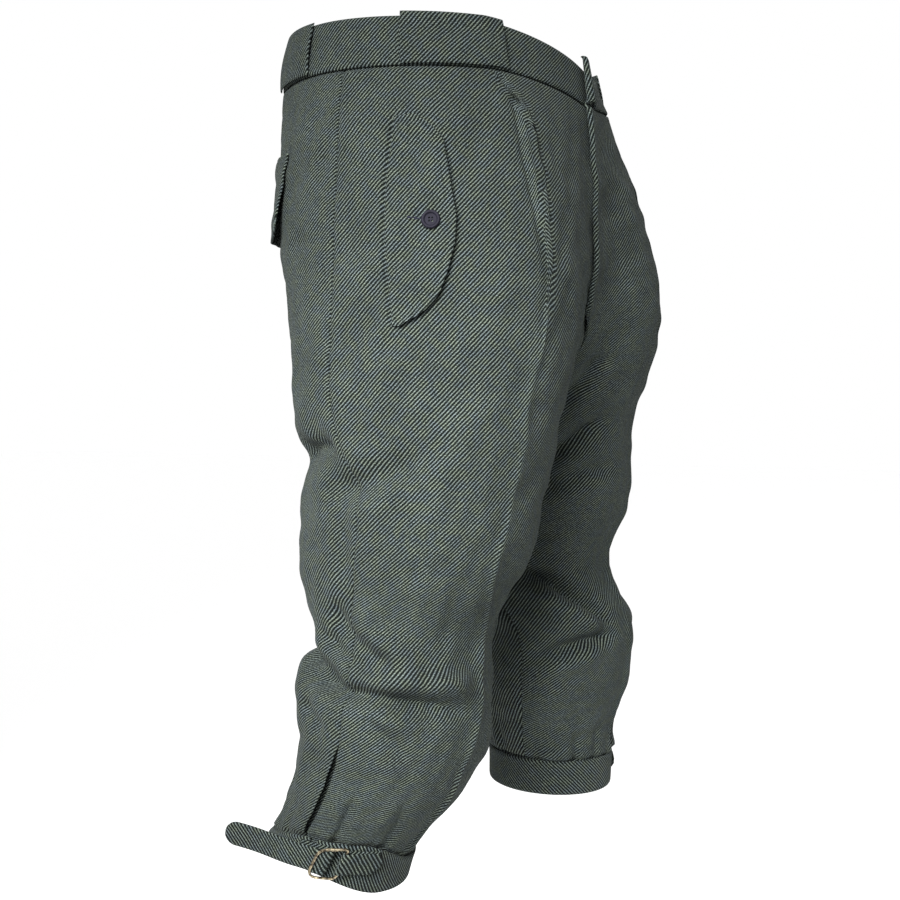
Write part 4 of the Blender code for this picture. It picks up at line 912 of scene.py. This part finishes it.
def waistband(side, finish):
    """Half of the waistband. The left end laps over the right, turned thick, and stands up a little."""
    seam_share = SEAM / 2 / girth(side, BAND_GIRTH_DROP)
    start = seam_share if side == RIGHT else -BAND_LAP / LAP_SCALE
    columns = spread(start * CLOTH_GIRTH, (1 - seam_share) * CLOTH_GIRTH, CLOTH_STEP) / CLOTH_GIRTH
    across, drop = np.meshgrid(columns, spread(BAND_TOP, BAND_FOOT - SEAM, TRIM_STEP))
    share = (drop - BAND_TOP) / (BAND_FOOT - BAND_TOP)
    out = np.full(across.shape, BAND_PROUD)
    lift = np.zeros(across.shape)
    if side == LEFT:
        out += (BAND_WALL + 2 * SEAM) * (1 - ramp(across, *BAND_SLOPE))
        out += (BAND_END_OUT + BAND_END_OUT * share) * (1 - ramp(across, start, BAND_END_ACROSS))
        sag_from, sag_full = BAND_SAGS
        sagging = (ramp(across, start + sag_from, start + sag_full) * (1 - ramp(across, *BAND_RECOVERS))
                   * (1 - share))
        out -= BAND_LEAN * sagging
        lift = BAND_TIP * (1 - share) * (1 - ramp(across, start, BAND_TIP_ACROSS)) - BAND_SAG * sagging
    fall = edge_fall(across * CLOTH_GIRTH, drop, BAND_WALL, "rtb" if side == LEFT else "lrtb")
    faces = band_faces(side, across, drop, out, BAND_WALL, fall, BAND_SHARE)
    cut = grain(side, across, drop, CREASE)
    if side == LEFT:
        radius = BAND_ROLL + BAND_ROLL_FOOT * share[:, 0]
        faces, cut = roll_edge(side, faces, cut, across[:, 0], drop[:, 0], out[:, 0] - fall[:, 0], radius,
                               np.ones(len(radius)), BAND_WALL)
        lift = np.pad(lift, ((0, 0), (ROLL_POINTS, 0)), mode="edge")
    for face in faces:
        face[..., 2] += lift
    sew("waistband", side, faces, cut, finish)


def belt_loop(label, side, start, span, above, finish):
    """Wide tunnel loop on the waistband, bulging a little and standing above its top edge."""
    columns = spread(start * CLOTH_GIRTH, (start + span) * CLOTH_GIRTH, TRIM_STEP) / CLOTH_GIRTH
    across, drop = np.meshgrid(columns, spread(BAND_TOP, BAND_FOOT - 2 * SEAM, TRIM_STEP))
    share = (drop - BAND_TOP) / (BAND_FOOT - BAND_TOP)
    out = BAND_PROUD + SEAM + LOOP_WALL + LOOP_BULGE * np.sin(math.pi * share)
    fall = edge_fall(across * CLOTH_GIRTH, drop, LOOP_WALL)
    faces = band_faces(side, across, drop, out, LOOP_WALL, fall, THIN_SHARE)
    for face in faces:
        face[..., 2] += above * (1 - ramp(share, *LOOP_LIFT))
    cut = grain(side, across, drop, CREASE) + LOOP_CUT
    sew(f"belt_loop_{label}", side, faces, cut, finish)


def edge_stitching(from_edge):
    """Shallow furrow that a row of stitches draws along a flap's edge."""
    return FLAP_STITCH_SINK * np.exp(-((from_edge - FLAP_STITCH_AT) / STITCH_HALF) ** 2)


def hinge_at(share):
    """Place across of the side flap's sewn edge, at each share of its height."""
    return FLAP_HINGE + FLAP_BOW * np.sin(math.pi * np.clip(share, 0, 1))


def buttonhole_place(across, drop):
    """Metres ahead of the middle of the buttonhole, along its slight slope, and up from it."""
    ahead = (across - BUTTON_ACROSS - HOLE_BEHIND) * FLAP_SCALE
    up = BUTTON_DROP - HOLE_ABOVE - drop - HOLE_SLOPE * ahead
    return ahead, up


def side_flap(side, finish, thread):
    """Long pocket flap hinged along its straight rear edge, curved along its free front edge."""
    share, width = np.array(FLAP_WIDTHS).T
    levels = spread(FLAP_TOP, FLAP_FOOT, FLAP_STEP)
    down = (levels - FLAP_TOP) / (FLAP_FOOT - FLAP_TOP)
    reach = np.interp(down, share, width)
    window = 2 * FLAP_EASE_ROWS + 1
    reach = np.convolve(np.pad(reach, FLAP_EASE_ROWS, mode="edge"), np.ones(window) / window, mode="valid")
    inward = spread(0, FLAP_WIDEST, FLAP_STEP) / FLAP_WIDEST
    across = hinge_at(down)[:, None] - reach[:, None] * inward / FLAP_SCALE
    drop = np.broadcast_to(levels[:, None], across.shape)
    out = SEAM + FLAP_WALL + FLAP_STAND * np.broadcast_to(inward ** 2, across.shape)
    from_edge = np.minimum(reach[:, None] * (1 - inward), np.minimum(drop - FLAP_TOP, FLAP_FOOT - drop))
    out = out - edge_stitching(from_edge)
    ahead, up = buttonhole_place(across, drop)
    worked = (abs(ahead) < HOLE_LENGTH / 2) & (abs(up) < HOLE_WIDTH / 2)
    stitches = 1 - HOLE_TWIST + HOLE_TWIST * np.cos(2 * math.pi * ahead / HOLE_STITCH)
    out = out + HOLE_RISE * worked * stitches
    cut = grain(side, across, drop, CREASE) + SIDE_FLAP_CUT
    piece = sew("side_flap", side, cloth_faces(side, across, drop, out, FLAP_WALL), cut, finish)
    piece.data.materials.append(thread)
    held = worked[:-1, :-1] & worked[1:, 1:]
    faces = np.zeros(len(piece.data.polygons), int)
    faces[:held.size] = held.ravel()
    piece.data.polygons.foreach_set("material_index", faces)


def hip_flap(side, finish):
    """Flap of the hip pocket, sewn along its top and standing off the seat at its foot."""
    columns = spread(HIP_START * CLOTH_GIRTH, HIP_END * CLOTH_GIRTH, TRIM_STEP) / CLOTH_GIRTH
    across, down = np.meshgrid(columns, spread(0, HIP_DEPTH, TRIM_STEP) / HIP_DEPTH)
    along = (across - HIP_START) / (HIP_END - HIP_START)
    corner = 1 - HIP_ROUND * (2 * abs(along - 0.5)) ** HIP_SQUARE
    drop = HIP_TOP + HIP_DEPTH * down * corner
    out = SEAM + FLAP_WALL + HIP_STAND * down ** HIP_CURVE
    cut = grain(side, across, drop, BACK_GRAIN) + HIP_FLAP_CUT
    sew("hip_flap", side, cloth_faces(side, across, drop, out, FLAP_WALL), cut, finish)


def cuff(side, finish):
    """Doubled band round the leg, split at the vent."""
    start, end = CUFF_ENDS
    columns = spread(start * CUFF_GIRTH, end * CUFF_GIRTH, CLOTH_STEP) / CUFF_GIRTH
    across, drop = np.meshgrid(columns, spread(CUFF_TOP[side] + SEAM, CUFF_FOOT[side], TRIM_STEP))
    share = (CUFF_FOOT[side] - drop) / (CUFF_FOOT[side] - CUFF_TOP[side])
    hung = drop
    if side == RIGHT:
        position = np.mod(across, 1.0)
        narrower = CUFF_TAPER * ramp(position, *CUFF_NARROWS) * (1 - ramp(position, *CUFF_WIDENS))
        hung = drop + (BLOUSE * (1 - beside_vent(position)) + 2 * SEAM) * share - narrower * (1 - share)
    fall = edge_fall(across * CUFF_GIRTH, drop, BAND_WALL)
    faces = band_faces(side, across, hung, 0.0, BAND_WALL, fall, BAND_SHARE)
    flat = np.stack((side * across * girth(side, CUFF_FOOT[side]), -drop), axis=-1)
    sew("cuff", side, faces, cross_grain(flat), finish)


def on_cuff(side, ahead, up, out):
    """Point by the buckle: metres ahead of its centre, up from the cuff's middle, out from it."""
    middle = STRAP_MIDDLE[side]
    across = BUCKLE_ACROSS - np.asarray(ahead) / girth(side, middle)
    return on_cloth(side, across, middle - np.asarray(up), out, folded=False)


def finer(path, values):
    """The same path with more points, the values beside it, and the length along it."""
    path = np.array(path)
    steps = np.linalg.norm(np.diff(path, axis=0), axis=1)
    travelled = np.concatenate(((0.0,), np.cumsum(steps)))
    wanted = np.linspace(0, travelled[-1], max(len(path), int(travelled[-1] / RIBBON_STEP)))
    finer_path = np.stack([np.interp(wanted, travelled, path[:, axis]) for axis in range(2)], axis=1)
    return finer_path, np.interp(wanted, travelled, values), wanted


def ribbon(side, path, half_width, thickness):
    """Grids of a band along a path of (ahead, out) points beside the cuff, and the length along it."""
    path, half_width, travelled = finer(path, half_width)
    run = np.gradient(path, axis=0)
    run /= np.linalg.norm(run, axis=1, keepdims=True)
    normal = np.stack((-run[:, 1], run[:, 0]), axis=1)
    round_over = turned_edge((1 - abs(RIBBON_SHARE)) * half_width.max(), thickness)
    level = RIBBON_SHARE * half_width[:, None]
    faces = []
    for turn in (1, -1):
        depth = thickness / 2 - round_over * RIBBON_ROUND
        ahead = path[:, :1] + turn * normal[:, :1] * depth
        out = path[:, 1:] + turn * normal[:, 1:] * depth
        faces.append(on_cuff(side, ahead, level, out))
    return faces[0], faces[1], level, travelled


def arc(centre, radius, start, end, count):
    angle = np.radians(np.linspace(start, end, count))
    return [(centre[0] + radius * math.cos(a), centre[1] + radius * math.sin(a)) for a in angle]


def free_end(side, start):
    """Directions of the strap's free end where it leaves the cuff: along it, up and out."""
    ahead, out = start
    along = on_cuff(side, ahead - TAIL_STEP, 0.0, out) - on_cuff(side, ahead, 0.0, out)
    along[2] = 0.0
    along /= np.linalg.norm(along)
    along[2] = TAIL_RISE
    along /= np.linalg.norm(along)
    up = on_cuff(side, ahead, TAIL_STEP, out) - on_cuff(side, ahead, -TAIL_STEP, out)
    up -= (up @ along) * along
    up /= np.linalg.norm(up)
    return along, up, np.cross(along, up) * side


def strap(side, finish):
    """Comes from under the buckle's rear bar, turns inside the frame and runs back straight."""
    path = STRAP_UNDER + arc(*STRAP_TURN) + [STRAP_OFF]
    half = STRAP_WIDTH / 2
    outer, inner, level, travelled = ribbon(side, path, [half] * len(path), STRAP_WALL)
    along, up, out = free_end(side, STRAP_OFF)
    tip = np.sin(np.linspace(0.05, 1.0, TIP_POINTS) * math.pi / 2)
    shaft = np.arange(TAIL_ROW, STRAP_TAIL - half, TAIL_ROW)
    length = np.concatenate((shaft, STRAP_TAIL - half * (1 - tip)))
    to_tip = np.clip((length - STRAP_TAIL + half) / half, 0, TIP_END)
    width = half * np.sqrt(1 - to_tip ** 2)
    tail_level = RIBBON_SHARE * width[:, None]
    at_edge = np.minimum((1 - abs(RIBBON_SHARE)) * half, (STRAP_TAIL - length)[:, None])
    depth = (STRAP_WALL / 2 - turned_edge(at_edge, STRAP_WALL) * RIBBON_ROUND)[..., None] * out
    curl = STRAP_CURL * np.sin(STRAP_WAVES * math.pi * length / STRAP_TAIL) * ramp(length, 0, CURL_STARTS)
    ahead, off = STRAP_OFF
    centre = on_cuff(side, ahead, 0.0, off) + length[:, None] * along + curl[:, None] * out
    rows = centre[:, None] + tail_level[..., None] * up
    faces = np.concatenate((outer, rows - depth)), np.concatenate((inner, rows + depth))
    travelled = np.concatenate((travelled, travelled[-1] + length))
    level = np.concatenate((level, tail_level))
    flat = np.stack(np.broadcast_arrays(side * travelled[:, None], level), axis=-1)
    sew("strap", side, faces, cross_grain(flat), finish)


def buckle_tab(side, finish):
    """Folded round the buckle's front bar and sewn on the cuff with a pointed end."""
    bar = (BUCKLE_CENTRE + BUCKLE_LENGTH / 2, BUCKLE_OUT)
    wrap = arc(bar, WIRE_RADIUS + SEAM + TAB_WALL / 2, *TAB_WRAP)
    path = TAB_UNDER + wrap + TAB_OVER
    half = [TAB_HALF] * (len(path) - 2) + [TAB_HALF * 0.95, TAB_POINT]
    outer, inner, level, travelled = ribbon(side, path, half, TAB_WALL)
    flat = np.stack(np.broadcast_arrays(-side * travelled[:, None], level), axis=-1)
    sew("buckle_tab", side, (outer, inner), cross_grain(flat), finish)


# Finishes

def srgb(code):
    """Linear colour from an sRGB hex value."""
    values = [int(code[start:start + 2], 16) / 255 for start in (1, 3, 5)]
    return tuple(v / 12.92 if v <= 0.04045 else ((v + 0.055) / 1.055) ** 2.4 for v in values) + (1.0,)


def node(tree, kind, inputs=(), **settings):
    """Add a node, set its properties, and set or link its inputs."""
    made = tree.nodes.new(kind)
    for name, value in settings.items():
        setattr(made, name, value)
    for key, value in dict(inputs).items():
        if isinstance(value, bpy.types.NodeSocket):
            tree.links.new(value, made.inputs[key])
        else:
            made.inputs[key].default_value = value
    return made


def set_stops(colour, stops):
    """Place and colour each stop of a colour ramp."""
    elements = colour.color_ramp.elements
    while len(elements) < len(stops):
        elements.new(0.5)
    for element, (place, code) in zip(elements, stops):
        element.position = place
        element.color = srgb(code)


def blank_finish(name, surface_values):
    """New material, its tree, and its surface with the values that are the same all over."""
    shade = bpy.data.materials.new(name)
    shade.use_nodes = True
    surface = shade.node_tree.nodes["Principled BSDF"]
    for socket, value in surface_values.items():
        surface.inputs[socket].default_value = value
    return shade, shade.node_tree, surface


def wool_twill_finish():
    """Wool twill woven from dark and pale yarn, the pale yarn floating over two dark ones so that the
    eye sees steep pale ribs broken into short stitches. Milled and pressed: matt, with a soft nap."""
    shade, tree, surface = blank_finish("wool_twill", {
        "Roughness": 0.92, "IOR": 1.53, "Specular IOR Level": 0.04, "Sheen Weight": 0.03,
        "Sheen Roughness": 0.45, "Sheen Tint": srgb("#cdd6d2")})
    cut = node(tree, "ShaderNodeUVMap", uv_map="cut").outputs["UV"]
    wander = node(tree, "ShaderNodeTexNoise", {"Vector": cut, "Scale": WANDER_SCALE,
                                               "Detail": 2.0}).outputs["Fac"]
    fine = node(tree, "ShaderNodeTexNoise", {"Vector": cut, "Scale": 1.0 / YARN, "Detail": 3.0,
                                             "Roughness": 0.7}).outputs["Fac"]
    heather = node(tree, "ShaderNodeTexNoise", {"Vector": cut, "Scale": HEATHER_SCALE, "Detail": 4.0,
                                                "Roughness": 0.6}).outputs["Fac"]
    axes = node(tree, "ShaderNodeSeparateXYZ", {"Vector": cut})
    # The ribs: a wave across the twill's diagonal, its line wandering a little
    along_x = node(tree, "ShaderNodeMath", {0: axes.outputs["X"], 1: math.sin(RIB_ANGLE) / RIB_SPACING},
                   operation="MULTIPLY").outputs[0]
    rib_at = node(tree, "ShaderNodeMath", {0: axes.outputs["Y"], 1: -math.cos(RIB_ANGLE) / RIB_SPACING,
                                           2: along_x}, operation="MULTIPLY_ADD").outputs[0]
    shifted = node(tree, "ShaderNodeMath", {0: wander, 1: 0.5, 2: rib_at},
                   operation="MULTIPLY_ADD").outputs[0]
    turned = node(tree, "ShaderNodeMath", {0: shifted, 1: 2 * math.pi}, operation="MULTIPLY").outputs[0]
    wave = node(tree, "ShaderNodeMath", {0: turned}, operation="SINE").outputs[0]
    # The floats: each rib breaks into short stitches down the warp
    float_shift = node(tree, "ShaderNodeMath", {0: wander, 1: 5.0}, operation="MULTIPLY").outputs[0]
    float_at = node(tree, "ShaderNodeMath", {0: axes.outputs["Y"], 1: 2 * math.pi / FLOAT_STEP,
                                             2: float_shift}, operation="MULTIPLY_ADD").outputs[0]
    float_wave = node(tree, "ShaderNodeMath", {0: float_at}, operation="SINE").outputs[0]
    broken = node(tree, "ShaderNodeMath", {0: float_wave, 1: 0.22, 2: wave},
                  operation="MULTIPLY_ADD").outputs[0]
    # The yarn's own unevenness
    uneven = node(tree, "ShaderNodeMapRange", {"Value": fine, "From Min": 0.25, "From Max": 0.75,
                                               "To Min": -0.85, "To Max": 0.85}).outputs["Result"]
    rib = node(tree, "ShaderNodeMath", {0: broken, 1: uneven}, operation="ADD").outputs[0]
    pale = node(tree, "ShaderNodeMapRange", {"Value": rib, "From Min": -0.60,
                                             "From Max": 1.35}).outputs["Result"]
    colour = node(tree, "ShaderNodeValToRGB", {"Fac": pale})
    set_stops(colour, WOOL_STOPS)
    # Melange dye: bluish and greenish fibres in clouds, and a faint heather over them
    tint_field = node(tree, "ShaderNodeTexNoise", {"Vector": cut, "Scale": TINT_SCALE, "Detail": 3.0})
    tint = node(tree, "ShaderNodeValToRGB", {"Fac": tint_field.outputs["Fac"]})
    set_stops(tint, WOOL_TINTS)
    tinted = node(tree, "ShaderNodeMix", {0: 0.85, 6: colour.outputs["Color"], 7: tint.outputs["Color"]},
                  data_type="RGBA", blend_type="MULTIPLY").outputs[2]
    depth = node(tree, "ShaderNodeMapRange", {"Value": heather, "From Min": 0.3, "From Max": 0.7,
                                              "To Min": 0.86, "To Max": 1.14}).outputs["Result"]
    mottled = node(tree, "ShaderNodeVectorMath", {0: tinted, "Scale": depth}, operation="SCALE").outputs[0]
    raised = node(tree, "ShaderNodeBump", {"Height": rib, "Strength": 0.6, "Distance": RIB_RELIEF})
    tree.links.new(mottled, surface.inputs["Base Color"])
    tree.links.new(raised.outputs["Normal"], surface.inputs["Normal"])
    return shade


def nickel_finish():
    """Drawn steel wire plated with nickel and worn: a warm grey gleam with a few dull patches."""
    shade, tree, surface = blank_finish("plated_wire", {"Metallic": 1.0})
    place = node(tree, "ShaderNodeTexCoord").outputs["Object"]
    worn = node(tree, "ShaderNodeTexNoise", {"Vector": place, "Scale": 400.0, "Detail": 3.0}).outputs["Fac"]
    rough = node(tree, "ShaderNodeMapRange", {"Value": worn, "To Min": 0.16,
                                              "To Max": 0.42}).outputs["Result"]
    colour = node(tree, "ShaderNodeValToRGB", {"Fac": worn})
    set_stops(colour, WIRE_STOPS)
    tree.links.new(colour.outputs["Color"], surface.inputs["Base Color"])
    tree.links.new(rough, surface.inputs["Roughness"])
    return shade


def clouded_finish(name, scale, detail, stops, surface_values):
    """Material whose colour clouds from one to the other of two."""
    shade, tree, surface = blank_finish(name, surface_values)
    place = node(tree, "ShaderNodeTexCoord").outputs["Object"]
    cloud = node(tree, "ShaderNodeTexNoise", {"Vector": place, "Scale": scale,
                                              "Detail": detail}).outputs["Fac"]
    colour = node(tree, "ShaderNodeValToRGB", {"Fac": cloud})
    set_stops(colour, stops)
    tree.links.new(colour.outputs["Color"], surface.inputs["Base Color"])
    return shade


def button_finish():
    """Moulded casein button: violet-black with faint clouding, its polish worn to a satin."""
    return clouded_finish("casein", 180.0, 3.0, CASEIN_STOPS,
                          {"Roughness": 0.45, "IOR": 1.53, "Specular IOR Level": 0.012})


def thread_finish():
    """Mercerised cotton buttonhole thread: violet-navy and nearly matt, uneven with its tight twist."""
    return clouded_finish("cotton_thread", 900.0, 2.0, THREAD_STOPS,
                          {"Roughness": 0.70, "Specular IOR Level": 0.01})


# Light and camera

def camera():
    """Level camera where the photograph was taken from, its frame shifted to the photograph's."""
    made = bpy.data.cameras.new("camera")
    made.lens = LENS
    made.sensor_width = SENSOR
    made.shift_x = (FRAME / 2 - PRINCIPAL[0]) / FRAME
    made.shift_y = (PRINCIPAL[1] - FRAME / 2) / FRAME
    made.clip_start = 0.05
    made.clip_end = 60.0
    view = bpy.data.objects.new("camera", made)
    bpy.context.scene.collection.objects.link(view)
    view.location = (CAMERA_DISTANCE * math.sin(CAMERA_AZIMUTH),
                     -CAMERA_DISTANCE * math.cos(CAMERA_AZIMUTH), CAMERA_HEIGHT)
    view.rotation_euler = (math.pi / 2, 0, CAMERA_AZIMUTH)
    bpy.context.scene.camera = view


def key_light():
    """Broad soft lamp from the near side, a little above the waist."""
    made = bpy.data.lights.new("key", "AREA")
    made.shape = "DISK"
    made.size = KEY_SIZE
    made.energy = KEY_POWER
    made.spread = KEY_SPREAD
    lamp = bpy.data.objects.new("key", made)
    bpy.context.scene.collection.objects.link(lamp)
    lamp.location = KEY_PLACE
    aim = mathutils.Vector(KEY_TARGET) - mathutils.Vector(KEY_PLACE)
    lamp.rotation_euler = aim.to_track_quat("-Z", "Y").to_euler()


def stage():
    """Pale floor, wide enough to meet the pale surroundings."""
    paper = blank_finish("stage_paper", {"Base Color": srgb(STAGE_WHITE), "Roughness": 0.9})[0]
    mesh = bpy.data.meshes.new("floor")
    corners = [(x * FLOOR_HALF, y * FLOOR_HALF, FLOOR) for x, y in ((-1, -1), (1, -1), (1, 1), (-1, 1))]
    mesh.from_pydata(corners, [], [(0, 1, 2, 3)])
    mesh.materials.append(paper)
    floor = bpy.data.objects.new("floor", mesh)
    bpy.context.scene.collection.objects.link(floor)
    world = bpy.data.worlds.new("studio")
    bpy.context.scene.world = world
    world.use_nodes = True
    background = world.node_tree.nodes["Background"]
    background.inputs["Color"].default_value = srgb(STAGE_WHITE)
    background.inputs["Strength"].default_value = 1.0
    bpy.context.scene.view_settings.view_transform = "Standard"


def main():
    camera()
    stage()
    key_light()
    wool = wool_twill_finish()
    plated = nickel_finish()
    casein = button_finish()
    thread = thread_finish()
    for side in SIDES:
        front_panel(side, wool)
        back_panel(side, wool)
        vent_underlap(side, wool)
        waistband(side, wool)
        for label, start, span, above in LOOPS:
            belt_loop(label, side, start, span, above, wool)
        side_flap(side, wool, thread)
        hip_flap(side, wool)
        cuff(side, wool)
        strap(side, wool)
        buckle_tab(side, wool)
        for name, finish in (("buckle", plated), ("button", casein)):
            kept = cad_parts[f"{name}_{SIDE_NAME[side]}"]
            kept.material_slots[0].material = finish


main()
